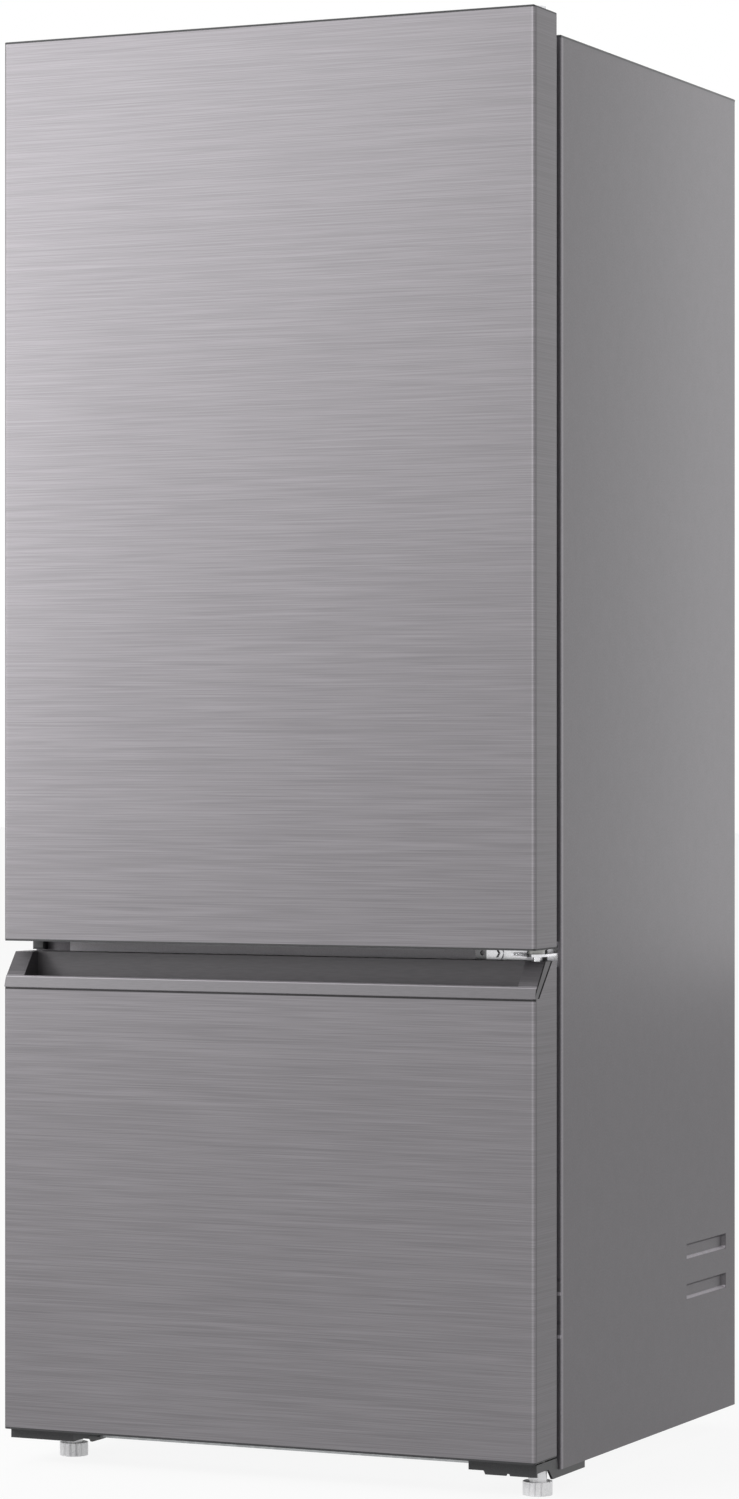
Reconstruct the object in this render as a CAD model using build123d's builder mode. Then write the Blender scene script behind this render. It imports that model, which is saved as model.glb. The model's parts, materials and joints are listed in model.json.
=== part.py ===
"""Two-door refrigerator with the freezer at the bottom, in millimetres.

+Z is up and the doors face -Y. The origin is on the floor, under the middle of the whole object.
Both doors hang on one vertical hinge line near the right-hand side.
"""

import os
from math import cos, radians, sin

from build123d import *

# ---------------------------------------------------------------- driving dimensions: the outside
WIDTH = 700.0
DOOR_DEPTH = 66.0
DOOR_GAP = 14.0  # between a door's back and the cabinet, closed by the gasket
CABINET_DEPTH = 594.0
CABINET_LIFT = 26.0  # floor to cabinet
CABINET_HEIGHT = 1682.0
DOORS_LIFT = 42.0  # floor to freezer door
FREEZER_DOOR_HEIGHT = 581.0
DOOR_SLOT = 14.0  # between the two doors
DOOR_RISE = 24.0  # the fridge door's top, above the cabinet's

# walls
SHEET = 1.0  # painted and stainless sheet
LINER_WALL = 2.0
TOP_SHEET = 3.0
PAN_SHEET = 1.5
SIDE_FLANGE = 48.0  # steel land for the gaskets
REAR_FLANGE = 14.0
FRIDGE_SIDE_WALL = 50.0
FRIDGE_TOP_WALL = 48.0
FRIDGE_BACK_WALL = 65.0
FREEZER_SIDE_WALL = 74.0
FREEZER_BACK_WALL = 85.0
FREEZER_FLOOR_WALL = 66.0
CROSS_WALL = 78.0  # between the two liners, centred on the slot between the doors
MACHINE_HEIGHT = 190.0
MACHINE_DEPTH = 206.0
MACHINE_WALL = 50.0  # foam between the machine compartment and the freezer

# hinge line
HINGE_INSET_X = 14.5  # in from the right side
HINGE_INSET_Y = 40.0  # behind the doors' front
HINGE_PIN_RADIUS = 4.0
PIN_CLEARANCE = 0.05
BUSH_WALL = 2.5
HINGE_PLATE = 3.0

# clearances
SKIN_GAP = 0.3  # between curved or moving faces that only just miss
FIT_GAP = 0.5  # between a loose piece and what holds it

# ---------------------------------------------------------------- places that follow from them
HALF_WIDTH = WIDTH / 2
TOTAL_DEPTH = DOOR_DEPTH + DOOR_GAP + CABINET_DEPTH
FRONT = -TOTAL_DEPTH / 2
DOOR_BACK = FRONT + DOOR_DEPTH
CABINET_FRONT = DOOR_BACK + DOOR_GAP
CABINET_BACK = TOTAL_DEPTH / 2
CABINET_LOW = CABINET_LIFT
CABINET_TOP = CABINET_LIFT + CABINET_HEIGHT
FREEZER_DOOR_LOW = DOORS_LIFT
FREEZER_DOOR_TOP = DOORS_LIFT + FREEZER_DOOR_HEIGHT
FRIDGE_DOOR_LOW = FREEZER_DOOR_TOP + DOOR_SLOT
FRIDGE_DOOR_TOP = CABINET_TOP + DOOR_RISE
SLOT_MIDDLE = FREEZER_DOOR_TOP + DOOR_SLOT / 2
HINGE_X = HALF_WIDTH - HINGE_INSET_X
HINGE_Y = FRONT + HINGE_INSET_Y

# liner outsides, which are also the hollows in the foam
FRIDGE_HALF = HALF_WIDTH - FRIDGE_SIDE_WALL
FRIDGE_BACK = CABINET_BACK - FRIDGE_BACK_WALL
FRIDGE_LOW = SLOT_MIDDLE + CROSS_WALL / 2
FRIDGE_TOP = CABINET_TOP - FRIDGE_TOP_WALL
FREEZER_HALF = HALF_WIDTH - FREEZER_SIDE_WALL
FREEZER_BACK = CABINET_BACK - FREEZER_BACK_WALL
FREEZER_LOW = CABINET_LOW + FREEZER_FLOOR_WALL
FREEZER_TOP = SLOT_MIDDLE - CROSS_WALL / 2
MACHINE_TOP = CABINET_LOW + MACHINE_HEIGHT
MACHINE_FRONT = CABINET_BACK - MACHINE_DEPTH

# liner insides
FRIDGE_INNER_HALF = FRIDGE_HALF - LINER_WALL
FRIDGE_INNER_BACK = FRIDGE_BACK - LINER_WALL
FRIDGE_FLOOR = FRIDGE_LOW + LINER_WALL
FRIDGE_CEILING = FRIDGE_TOP - LINER_WALL
FREEZER_INNER_HALF = FREEZER_HALF - LINER_WALL
FREEZER_INNER_BACK = FREEZER_BACK - LINER_WALL
FREEZER_FLOOR = FREEZER_LOW + LINER_WALL
FREEZER_CEILING = FREEZER_TOP - LINER_WALL

os.makedirs("parts", exist_ok=True)


def save(piece, name):
    """Label a finished piece and write it under its node's name."""
    piece.part.label = name
    export_step(piece.part, f"parts/{name}.step")


def block(x, y, z, mode=Mode.ADD):
    """A box in the open part, given by its low and high value on each axis."""
    with Locations(((x[0] + x[1]) / 2, (y[0] + y[1]) / 2, (z[0] + z[1]) / 2)):
        Box(x[1] - x[0], y[1] - y[0], z[1] - z[0], mode=mode)


def prism(plane, points, amount, mode=Mode.ADD, both=False):
    """Extrude a closed outline of corner points from a plane, in the open part."""
    with BuildSketch(plane) as outline:
        Polygon(*points, align=None)
    extrude(outline.sketch, amount=amount, both=both, mode=mode)


def side_plane(x):
    """Upright plane that faces +X; its own axes are Y and Z."""
    return Plane.YZ.offset(x)


def front_plane(y):
    """Upright plane that faces the viewer; its own axes are X and Z, and it extrudes forwards."""
    return Plane.XZ.offset(-y)


# ---------------------------------------------------------------- sheet shell of the cabinet
GRIP_LENGTH = 143.0
GRIP_HEIGHT = 19.5
GRIP_DEPTH = 5.0
GRIP_BEVEL = 35.0  # degrees from square
GRIP_BACK_INSET = 105.5  # centre, in front of the cabinet's back
GRIP_LIFTS = (189.5, 240.0)
SHEET_BEND = 2.0


def grip_pans(side, face, length, height, mode):
    """Pressed grip recesses, sunk inwards from the upright plane at the given distance out."""
    upright = Plane(
        origin=(side * face, CABINET_BACK - GRIP_BACK_INSET, 0),
        x_dir=(0, -side, 0),
        z_dir=(-side, 0, 0),
    )
    with BuildSketch(upright) as mouths:
        with Locations(*[(0, lift) for lift in GRIP_LIFTS]):
            Rectangle(length, height)
    extrude(mouths.sketch, amount=GRIP_DEPTH, taper=GRIP_BEVEL, mode=mode)


def side_panel(side, name):
    """One side of the cabinet: a sheet with a wide front flange, a narrow rear one and two grips."""
    out = side * HALF_WIDTH
    web = out - side * SHEET
    front_edge = out - side * SIDE_FLANGE
    rear_edge = out - side * REAR_FLANGE
    rear = CABINET_BACK - SHEET
    with BuildPart() as panel:
        with BuildSketch(Plane.XY.offset(CABINET_LOW)):
            Polygon(
                (front_edge, CABINET_FRONT),
                (out, CABINET_FRONT),
                (out, rear),
                (rear_edge, rear),
                (rear_edge, rear - SHEET),
                (web, rear - SHEET),
                (web, CABINET_FRONT + SHEET),
                (front_edge, CABINET_FRONT + SHEET),
                align=None,
            )
        extrude(amount=CABINET_HEIGHT - TOP_SHEET)
        upright = panel.edges().filter_by(Axis.Z)
        fillet(upright.sort_by(lambda e: e.center().X * side - e.center().Y * 10)[-1], SHEET_BEND)
        grip_pans(side, HALF_WIDTH - SHEET, GRIP_LENGTH + 2 * SHEET, GRIP_HEIGHT + 2 * SHEET, Mode.ADD)
        grip_pans(side, HALF_WIDTH, GRIP_LENGTH, GRIP_HEIGHT, Mode.SUBTRACT)
    save(panel, name)


side_panel(-1, "side_panel_left")
side_panel(1, "side_panel_right")

# top panel: a lid over both side panels, turned down in front between their flanges
with BuildPart() as top_panel:
    block(
        (-HALF_WIDTH, HALF_WIDTH),
        (CABINET_FRONT, CABINET_BACK),
        (CABINET_TOP - TOP_SHEET, CABINET_TOP),
    )
    block(
        (-HALF_WIDTH + SIDE_FLANGE, HALF_WIDTH - SIDE_FLANGE),
        (CABINET_FRONT, CABINET_FRONT + SHEET),
        (FRIDGE_TOP, CABINET_TOP - TOP_SHEET),
    )
    top_rim = top_panel.faces().sort_by(Axis.Z)[-1].edges()
    chamfer(top_rim, TOP_SHEET / 4)
save(top_panel, "top_panel")

# back panel, closed over the foam down to the machine compartment
BACK_RIB_DEPTH = 3.0
BACK_RIB_WIDTH = 24.0
BACK_RIB_PITCH = 150.0
BACK_RIB_COUNT = 4
BACK_RIB_MARGIN = 120.0


def back_ribs(mode, grow=0.0):
    """Upright stiffening grooves pressed into the back panel."""
    length = CABINET_TOP - MACHINE_TOP - 2 * BACK_RIB_MARGIN
    with BuildSketch(front_plane(CABINET_BACK)) as grooves:
        with Locations((0, (CABINET_TOP + MACHINE_TOP) / 2)):
            with GridLocations(BACK_RIB_PITCH, 0, BACK_RIB_COUNT, 1):
                Rectangle(BACK_RIB_WIDTH + 2 * grow, length + 2 * grow)
    extrude(grooves.sketch, amount=BACK_RIB_DEPTH + grow, taper=GRIP_BEVEL, mode=mode)


with BuildPart() as back_panel:
    back_ribs(Mode.ADD, SHEET)
    block(
        (-HALF_WIDTH + SHEET, HALF_WIDTH - SHEET),
        (CABINET_BACK - SHEET, CABINET_BACK),
        (MACHINE_TOP, CABINET_TOP - TOP_SHEET),
    )
    back_ribs(Mode.SUBTRACT)
save(back_panel, "back_panel")

# ---------------------------------------------------------------- base pan, rollers and feet
ROLLER_RADIUS = 16.0
ROLLER_WIDTH = 22.0
ROLLER_STUB_RADIUS = 4.0
ROLLER_STUB_LENGTH = 4.0
ROLLER_INSET_X = 80.0
ROLLER_INSET_BACK = 60.0
EAR_SHEET = 2.5
EAR_RADIUS = 9.0
FOOT_PAD_RADIUS = 17.5
FOOT_PAD_HEIGHT = 16.0
FOOT_FLUTES = 14
FOOT_FLUTE_DEPTH = 1.2
FOOT_NECK_RADIUS = 11.0
FOOT_STUD_RADIUS = 5.0
RIGHT_FOOT_INSET_X = 17.5
RIGHT_FOOT_INSET_Y = 50.0  # behind the doors' front
LEFT_FOOT_INSET_X = 46.0
LEFT_FOOT_INSET_Y = 94.0
BRACKET_DROP = 12.0  # from the freezer door down to the brackets' underside

ROLLER_X = HALF_WIDTH - ROLLER_INSET_X
ROLLER_Y = CABINET_BACK - ROLLER_INSET_BACK
RIGHT_FOOT = (HALF_WIDTH - RIGHT_FOOT_INSET_X, FRONT + RIGHT_FOOT_INSET_Y)
LEFT_FOOT = (-HALF_WIDTH + LEFT_FOOT_INSET_X, FRONT + LEFT_FOOT_INSET_Y)
BRACKET_LOW = FREEZER_DOOR_LOW - BRACKET_DROP
PAN_TOP = CABINET_LOW + PAN_SHEET
ROLLER_WELL_HALF = ROLLER_RADIUS + 3 * FIT_GAP
EAR_INNER = ROLLER_WIDTH / 2 + FIT_GAP

with BuildPart() as base_pan:
    block(
        (-HALF_WIDTH + SHEET, HALF_WIDTH - SHEET),
        (CABINET_FRONT + SHEET, CABINET_BACK - 2 * SHEET),
        (CABINET_LOW, PAN_TOP),
    )
    # turned up in front, as the land for the freezer gasket's lower run
    block(
        (-HALF_WIDTH + SIDE_FLANGE, HALF_WIDTH - SIDE_FLANGE),
        (CABINET_FRONT, CABINET_FRONT + SHEET),
        (CABINET_LOW, FREEZER_LOW),
    )
    # a well for each roller, between two hanging ears that carry its stubs
    with BuildSketch(Plane.XY.offset(CABINET_LOW)):
        with Locations((-ROLLER_X, ROLLER_Y), (ROLLER_X, ROLLER_Y)):
            Rectangle(2 * EAR_INNER, 2 * ROLLER_WELL_HALF)
    extrude(amount=PAN_SHEET, mode=Mode.SUBTRACT)
    for centre in (-ROLLER_X, ROLLER_X):
        for low in (centre - EAR_INNER - EAR_SHEET, centre + EAR_INNER):
            with BuildSketch(side_plane(low)):
                with Locations((ROLLER_Y, ROLLER_RADIUS)):
                    Circle(EAR_RADIUS)
                with Locations((ROLLER_Y, (ROLLER_RADIUS + PAN_TOP) / 2)):
                    Rectangle(2 * EAR_RADIUS, PAN_TOP - ROLLER_RADIUS)
                with Locations((ROLLER_Y, ROLLER_RADIUS)):
                    Circle(ROLLER_STUB_RADIUS + PIN_CLEARANCE, mode=Mode.SUBTRACT)
            extrude(amount=EAR_SHEET)
save(base_pan, "base_pan")


def roller(side, name):
    """A transport roller whose moulded stubs run in the pan's ears."""
    centre = side * ROLLER_X
    with BuildPart() as wheel:
        with BuildSketch(side_plane(centre)):
            with Locations((ROLLER_Y, ROLLER_RADIUS)):
                Circle(ROLLER_RADIUS)
        extrude(amount=ROLLER_WIDTH / 2, both=True)
        rims = wheel.edges().filter_by(GeomType.CIRCLE)
        chamfer(rims, ROLLER_WIDTH / 15)
        with BuildSketch(side_plane(centre)):
            with Locations((ROLLER_Y, ROLLER_RADIUS)):
                Circle(ROLLER_STUB_RADIUS)
        extrude(amount=ROLLER_WIDTH / 2 + ROLLER_STUB_LENGTH, both=True)
    save(wheel, name)


roller(-1, "roller_left")
roller(1, "roller_right")


def foot(centre, plate_low, name):
    """A levelling foot: a fluted pad to turn by hand, a neck up to its plate and a stud through it."""
    with BuildPart() as whole:
        with BuildSketch():
            with Locations(centre):
                Circle(FOOT_PAD_RADIUS)
                with PolarLocations(FOOT_PAD_RADIUS, FOOT_FLUTES):
                    Rectangle(2 * FOOT_FLUTE_DEPTH, 2 * FOOT_FLUTE_DEPTH, rotation=45, mode=Mode.SUBTRACT)
        extrude(amount=FOOT_PAD_HEIGHT)
        with BuildSketch(Plane.XY.offset(FOOT_PAD_HEIGHT)):
            with Locations(centre):
                Circle(FOOT_NECK_RADIUS)
        extrude(amount=plate_low - FOOT_PAD_HEIGHT)
        with BuildSketch(Plane.XY.offset(plate_low)):
            with Locations(centre):
                Circle(FOOT_STUD_RADIUS)
        extrude(amount=HINGE_PLATE - SKIN_GAP)
    save(whole, name)


foot(LEFT_FOOT, CABINET_LOW - HINGE_PLATE, "foot_left")
foot(RIGHT_FOOT, BRACKET_LOW, "foot_right")

# ---------------------------------------------------------------- foam and liners
LINER_CORNER = 26.0  # outside radius of the liners' upright back corners
MACHINE_LEAN = 26.0  # how far the freezer's step leans back over its height
SHELF_RAIL_WIDTH = 12.0
SHELF_RAIL_HEIGHT = 8.0
SHELF_RAIL_FRONT = 110.0  # behind the cabinet's front
SHELF_RAIL_BACK_GAP = 37.0  # before the liner's back
CRISPER_COVER_LIFT = 222.0  # shelf rails' tops, above the fridge floor
LOWER_SHELF_LIFT = 480.0
UPPER_SHELF_DROP = 252.0  # below the fridge's ceiling
SPARE_RAIL_LIFTS = (350.0, 608.0)
DRAWER_RAIL_WIDTH = 18.0
DRAWER_RAIL_HEIGHT = 10.0
DRAWER_RAIL_FRONT = 40.0
DRAWER_RAIL_BACK_GAP = 37.0  # before the evaporator's cover
MIDDLE_RAIL_LIFT = 314.0  # drawer rails' tops, above the freezer floor
TOP_RAIL_LIFT = 474.0
COOLER_COVER = 4.0
COOLER_DEPTH = 56.0  # from the evaporator cover's back to the liner

STEP_LOW_Y = MACHINE_FRONT - MACHINE_WALL - LINER_WALL
STEP_TOP = MACHINE_TOP + MACHINE_WALL
SHELF_LEVELS = [
    FRIDGE_FLOOR + CRISPER_COVER_LIFT,
    FRIDGE_FLOOR + LOWER_SHELF_LIFT,
    FRIDGE_CEILING - UPPER_SHELF_DROP,
]
SPARE_LEVELS = [FRIDGE_FLOOR + lift for lift in SPARE_RAIL_LIFTS]
MIDDLE_RAIL = FREEZER_FLOOR + MIDDLE_RAIL_LIFT
TOP_RAIL = FREEZER_FLOOR + TOP_RAIL_LIFT
COVER_BACK = FREEZER_INNER_BACK - COOLER_DEPTH
COVER_FACE = COVER_BACK - COOLER_COVER
SHELF_RAIL_Y = CABINET_FRONT + SHELF_RAIL_FRONT
SHELF_RAIL_LENGTH = FRIDGE_INNER_BACK - SHELF_RAIL_BACK_GAP - SHELF_RAIL_Y
DRAWER_RAIL_Y = CABINET_FRONT + DRAWER_RAIL_FRONT
DRAWER_RAIL_LENGTH = COVER_FACE - DRAWER_RAIL_BACK_GAP - DRAWER_RAIL_Y


def freezer_outline(inset):
    """Side view of the freezer's hollow, with its step over the machine compartment."""
    return [
        (CABINET_FRONT, FREEZER_LOW + inset),
        (STEP_LOW_Y - inset, FREEZER_LOW + inset),
        (STEP_LOW_Y + MACHINE_LEAN - inset, STEP_TOP + inset),
        (FREEZER_BACK - inset, STEP_TOP + inset),
        (FREEZER_BACK - inset, FREEZER_TOP - inset),
        (CABINET_FRONT, FREEZER_TOP - inset),
    ]


def hollow(half, outline, radius):
    """The solid of a compartment, rounded along its upright back corners."""
    with BuildPart() as form:
        prism(side_plane(-half), outline, 2 * half)
        back = form.faces().sort_by(Axis.Y)[-1]
        fillet(back.edges().filter_by(Axis.Z), radius)
    return form.part


def fridge_outline(inset):
    """Side view of the fridge's hollow."""
    return [
        (CABINET_FRONT, FRIDGE_LOW + inset),
        (FRIDGE_BACK - inset, FRIDGE_LOW + inset),
        (FRIDGE_BACK - inset, FRIDGE_TOP - inset),
        (CABINET_FRONT, FRIDGE_TOP - inset),
    ]


fridge_outside = hollow(FRIDGE_HALF, fridge_outline(0), LINER_CORNER)
fridge_inside = hollow(FRIDGE_INNER_HALF, fridge_outline(LINER_WALL), LINER_CORNER - LINER_WALL)
freezer_outside = hollow(FREEZER_HALF, freezer_outline(0), LINER_CORNER)
freezer_inside = hollow(FREEZER_INNER_HALF, freezer_outline(LINER_WALL), LINER_CORNER - LINER_WALL)


def wall_rail(half, width, height, top, front, length):
    """A pair of moulded ribs on a liner's side walls, rounded at their front and back."""
    for side in (-1, 1):
        with BuildSketch(Plane.XY.offset(top - height)) as rail:
            with Locations((side * half, front + length / 2)):
                RectangleRounded(2 * width, length, width * 0.9)
                with Locations((side * width, 0)):
                    Rectangle(2 * width - 2 * LINER_WALL, length, mode=Mode.SUBTRACT)
        extrude(rail.sketch, amount=height)


with BuildPart() as fridge_liner:
    add(fridge_outside)
    add(fridge_inside, mode=Mode.SUBTRACT)
    for level in SHELF_LEVELS + SPARE_LEVELS:
        wall_rail(
            FRIDGE_INNER_HALF,
            SHELF_RAIL_WIDTH,
            SHELF_RAIL_HEIGHT,
            level,
            SHELF_RAIL_Y,
            SHELF_RAIL_LENGTH,
        )
save(fridge_liner, "fridge_liner")

with BuildPart() as freezer_liner:
    # front land outside the mouth, up to the side panels' flanges
    block(
        (-HALF_WIDTH + SIDE_FLANGE, HALF_WIDTH - SIDE_FLANGE),
        (CABINET_FRONT, CABINET_FRONT + SHEET),
        (FREEZER_LOW, FREEZER_TOP),
    )
    add(freezer_outside)
    add(freezer_inside, mode=Mode.SUBTRACT)
    for level in (MIDDLE_RAIL, TOP_RAIL):
        wall_rail(
            FREEZER_INNER_HALF,
            DRAWER_RAIL_WIDTH,
            DRAWER_RAIL_HEIGHT,
            level,
            DRAWER_RAIL_Y,
            DRAWER_RAIL_LENGTH,
        )
save(freezer_liner, "freezer_liner")

with BuildPart() as insulation:
    prism(
        side_plane(-HALF_WIDTH + SHEET),
        [
            (CABINET_FRONT + SHEET, PAN_TOP),
            (MACHINE_FRONT, PAN_TOP),
            (MACHINE_FRONT, MACHINE_TOP),
            (CABINET_BACK - 2 * SHEET, MACHINE_TOP),
            (CABINET_BACK - 2 * SHEET, CABINET_TOP - TOP_SHEET),
            (CABINET_FRONT + SHEET, CABINET_TOP - TOP_SHEET),
        ],
        WIDTH - 2 * SHEET,
    )
    add(fridge_outside, mode=Mode.SUBTRACT)
    add(freezer_outside, mode=Mode.SUBTRACT)
    add(back_panel.part, mode=Mode.SUBTRACT)
    back_ribs(Mode.SUBTRACT)
    for flank in (-1, 1):
        grip_pans(
            flank, HALF_WIDTH - SHEET, GRIP_LENGTH + 2 * SHEET, GRIP_HEIGHT + 2 * SHEET, Mode.SUBTRACT
        )
save(insulation, "insulation")

# ---------------------------------------------------------------- cross rail, hinges and brackets
RAIL_PLUG_LENGTH = 17.0
RAIL_PLUG_HEIGHT = 12.0
RAIL_PLUG_DEPTH = 10.0
RAIL_PLUG_INSET = 0.5  # from the cabinet's left side
BRACKET_FRONT_INSET = 12.0  # behind the doors' front
BRACKET_WIDTH = 86.0
BRACKET_SIDE_INSET = 3.0
BRACKET_TOP_GAP = 2.0  # below the freezer door
BRACKET_DEPTH = 50.0
BRACKET_STRIP_LENGTH = 150.0
BRACKET_STRIP_DROP = 9.0
MIDDLE_HINGE_WIDTH = 105.0
MIDDLE_FLANGE_HEIGHT = 30.0
MIDDLE_ARM_WIDTH = 62.0
MIDDLE_BOSS_INSET = 82.0  # its centre, from the cabinet's right side
MIDDLE_BOSS_RADIUS = 10.0
MIDDLE_BOSS_HEIGHT = 2.0
MIDDLE_ROOT_WIDTH = 26.0  # thick root of the arm
MIDDLE_ROOT_DEPTH = 8.0
MIDDLE_ROOT_HEIGHT = 11.0
APRON_LENGTH = 65.0  # of the lower hinge's front that hangs down
APRON_DROP = 4.5
NOTCH_INSET = 39.0  # its middle, from the right side
NOTCH_RADIUS = 2.5
PIN_REACH = 18.0  # into each door
PIN_BOSS = 12.0  # metal round a pin, as a radius
SCREW_HEAD_RADIUS = 5.5
SCREW_HEAD_HEIGHT = 3.5
SPARE_HOLE_RADIUS = 3.0
TOP_BASE_WIDTH = 62.0
TOP_BASE_DEPTH = 84.0
TOP_BASE_INSET = 66.0  # in from the cabinet's right side
TOP_BASE_BACK = 8.0  # behind the cabinet's front
TOP_COVER_MARGIN = 5.0
TOP_COVER_HEIGHT = 20.0
TOP_COVER_WALL = 2.0

BRACKET_FRONT = FRONT + BRACKET_FRONT_INSET
BRACKET_TOP = FREEZER_DOOR_LOW - BRACKET_TOP_GAP
BRACKET_BACK = BRACKET_FRONT + BRACKET_DEPTH
STRIP_BACK = BRACKET_FRONT + BRACKET_STRIP_LENGTH
ARM_LOW = SLOT_MIDDLE - HINGE_PLATE / 2
ARM_TOP = SLOT_MIDDLE + HINGE_PLATE / 2
TOP_ARM_LOW = FRIDGE_DOOR_TOP + SKIN_GAP
TOP_BASE_RIGHT = HALF_WIDTH - TOP_BASE_INSET
TOP_BASE_LEFT = TOP_BASE_RIGHT - TOP_BASE_WIDTH
TOP_BASE_FRONT = CABINET_FRONT + TOP_BASE_BACK
TOP_BASE_TOP = CABINET_TOP + HINGE_PLATE
COVER_FRONT = TOP_BASE_FRONT + HINGE_PLATE + FIT_GAP


def hinge_pin(low, top):
    """An upright pin on the doors' common hinge line."""
    with BuildSketch(Plane.XY.offset(low)) as section:
        with Locations((HINGE_X, HINGE_Y)):
            Circle(HINGE_PIN_RADIUS)
    extrude(section.sketch, amount=top - low)


with BuildPart() as cross_rail:
    block(
        (-HALF_WIDTH + SIDE_FLANGE, HALF_WIDTH - SIDE_FLANGE),
        (CABINET_FRONT, CABINET_FRONT + SHEET),
        (FREEZER_TOP, FRIDGE_LOW),
    )
save(cross_rail, "cross_rail")

with BuildPart() as rail_plug:
    block(
        (-HALF_WIDTH + RAIL_PLUG_INSET, -HALF_WIDTH + RAIL_PLUG_INSET + RAIL_PLUG_LENGTH),
        (CABINET_FRONT - RAIL_PLUG_DEPTH, CABINET_FRONT),
        (SLOT_MIDDLE - RAIL_PLUG_HEIGHT / 2, SLOT_MIDDLE + RAIL_PLUG_HEIGHT / 2),
    )
    chamfer(rail_plug.faces().sort_by(Axis.Y)[0].edges(), RAIL_PLUG_HEIGHT / 6)
save(rail_plug, "rail_plug")

with BuildPart() as middle_hinge:
    block(
        (HALF_WIDTH - MIDDLE_HINGE_WIDTH - BRACKET_SIDE_INSET, HALF_WIDTH - BRACKET_SIDE_INSET),
        (CABINET_FRONT - HINGE_PLATE, CABINET_FRONT),
        (SLOT_MIDDLE - MIDDLE_FLANGE_HEIGHT / 2, SLOT_MIDDLE + MIDDLE_FLANGE_HEIGHT / 2),
    )
    arm_right = HALF_WIDTH - BRACKET_SIDE_INSET
    with BuildSketch(Plane.XY.offset(ARM_LOW)):
        with Locations((HINGE_X, HINGE_Y)):
            Circle(PIN_BOSS)
        with Locations((arm_right - MIDDLE_ARM_WIDTH / 2, CABINET_FRONT - HINGE_PLATE)):
            Rectangle(MIDDLE_ARM_WIDTH, HINGE_PLATE)
        make_hull()
    extrude(amount=HINGE_PLATE)
    hinge_pin(ARM_LOW - DOOR_SLOT / 2 + HINGE_PLATE / 2 - PIN_REACH, ARM_LOW)
    hinge_pin(ARM_TOP, ARM_TOP + DOOR_SLOT / 2 - HINGE_PLATE / 2 + PIN_REACH)
    root_left = arm_right - MIDDLE_ARM_WIDTH
    block(
        (root_left, root_left + MIDDLE_ROOT_WIDTH),
        (CABINET_FRONT - HINGE_PLATE - MIDDLE_ROOT_DEPTH, CABINET_FRONT - HINGE_PLATE / 2),
        (SLOT_MIDDLE - MIDDLE_ROOT_HEIGHT / 2, SLOT_MIDDLE + MIDDLE_ROOT_HEIGHT / 2),
    )
    with BuildSketch(front_plane(CABINET_FRONT - HINGE_PLATE)):
        with Locations((HALF_WIDTH - MIDDLE_BOSS_INSET, SLOT_MIDDLE)):
            Circle(MIDDLE_BOSS_RADIUS)
    extrude(amount=MIDDLE_BOSS_HEIGHT)
    spare = (HALF_WIDTH - BRACKET_SIDE_INSET - MIDDLE_HINGE_WIDTH + 3 * SPARE_HOLE_RADIUS, SLOT_MIDDLE)
    with BuildSketch(front_plane(CABINET_FRONT)):
        with Locations(spare):
            Circle(SPARE_HOLE_RADIUS)
    extrude(amount=HINGE_PLATE, mode=Mode.SUBTRACT)
save(middle_hinge, "middle_hinge")


def foot_bracket(side, strip_low):
    """Folded bracket under a door's end: box in front of the cabinet, strip back under the cabinet."""
    outer = side * (HALF_WIDTH - BRACKET_SIDE_INSET)
    inner = outer - side * BRACKET_WIDTH
    wide = (min(inner, outer), max(inner, outer))
    block(wide, (BRACKET_FRONT, BRACKET_BACK), (BRACKET_LOW, BRACKET_LOW + HINGE_PLATE))
    block(wide, (BRACKET_FRONT, BRACKET_FRONT + HINGE_PLATE), (BRACKET_LOW, BRACKET_TOP))
    for edge in (outer, inner + side * HINGE_PLATE):
        near = edge - side * HINGE_PLATE
        prism(
            side_plane(min(edge, near)),
            [
                (BRACKET_FRONT, BRACKET_LOW),
                (BRACKET_BACK - BRACKET_LOW + strip_low, BRACKET_LOW),
                (BRACKET_BACK, strip_low),
                (STRIP_BACK, strip_low),
                (STRIP_BACK, CABINET_LOW),
                (CABINET_FRONT - SKIN_GAP, CABINET_LOW),
                (CABINET_FRONT - 2 * HINGE_PLATE, BRACKET_TOP),
                (BRACKET_FRONT, BRACKET_TOP),
            ],
            HINGE_PLATE,
        )
    # web between the two strips, up against the pan
    block(wide, (CABINET_FRONT - SKIN_GAP, STRIP_BACK), (CABINET_LOW - HINGE_PLATE, CABINET_LOW))


def stud_hole(centre, plate_low):
    with BuildSketch(Plane.XY.offset(plate_low)) as section:
        with Locations(centre):
            Circle(FOOT_STUD_RADIUS + PIN_CLEARANCE)
    extrude(section.sketch, amount=HINGE_PLATE, mode=Mode.SUBTRACT)


with BuildPart() as left_foot_bracket:
    foot_bracket(-1, CABINET_LOW - HINGE_PLATE)
    stud_hole(LEFT_FOOT, CABINET_LOW - HINGE_PLATE)
save(left_foot_bracket, "left_foot_bracket")

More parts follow.
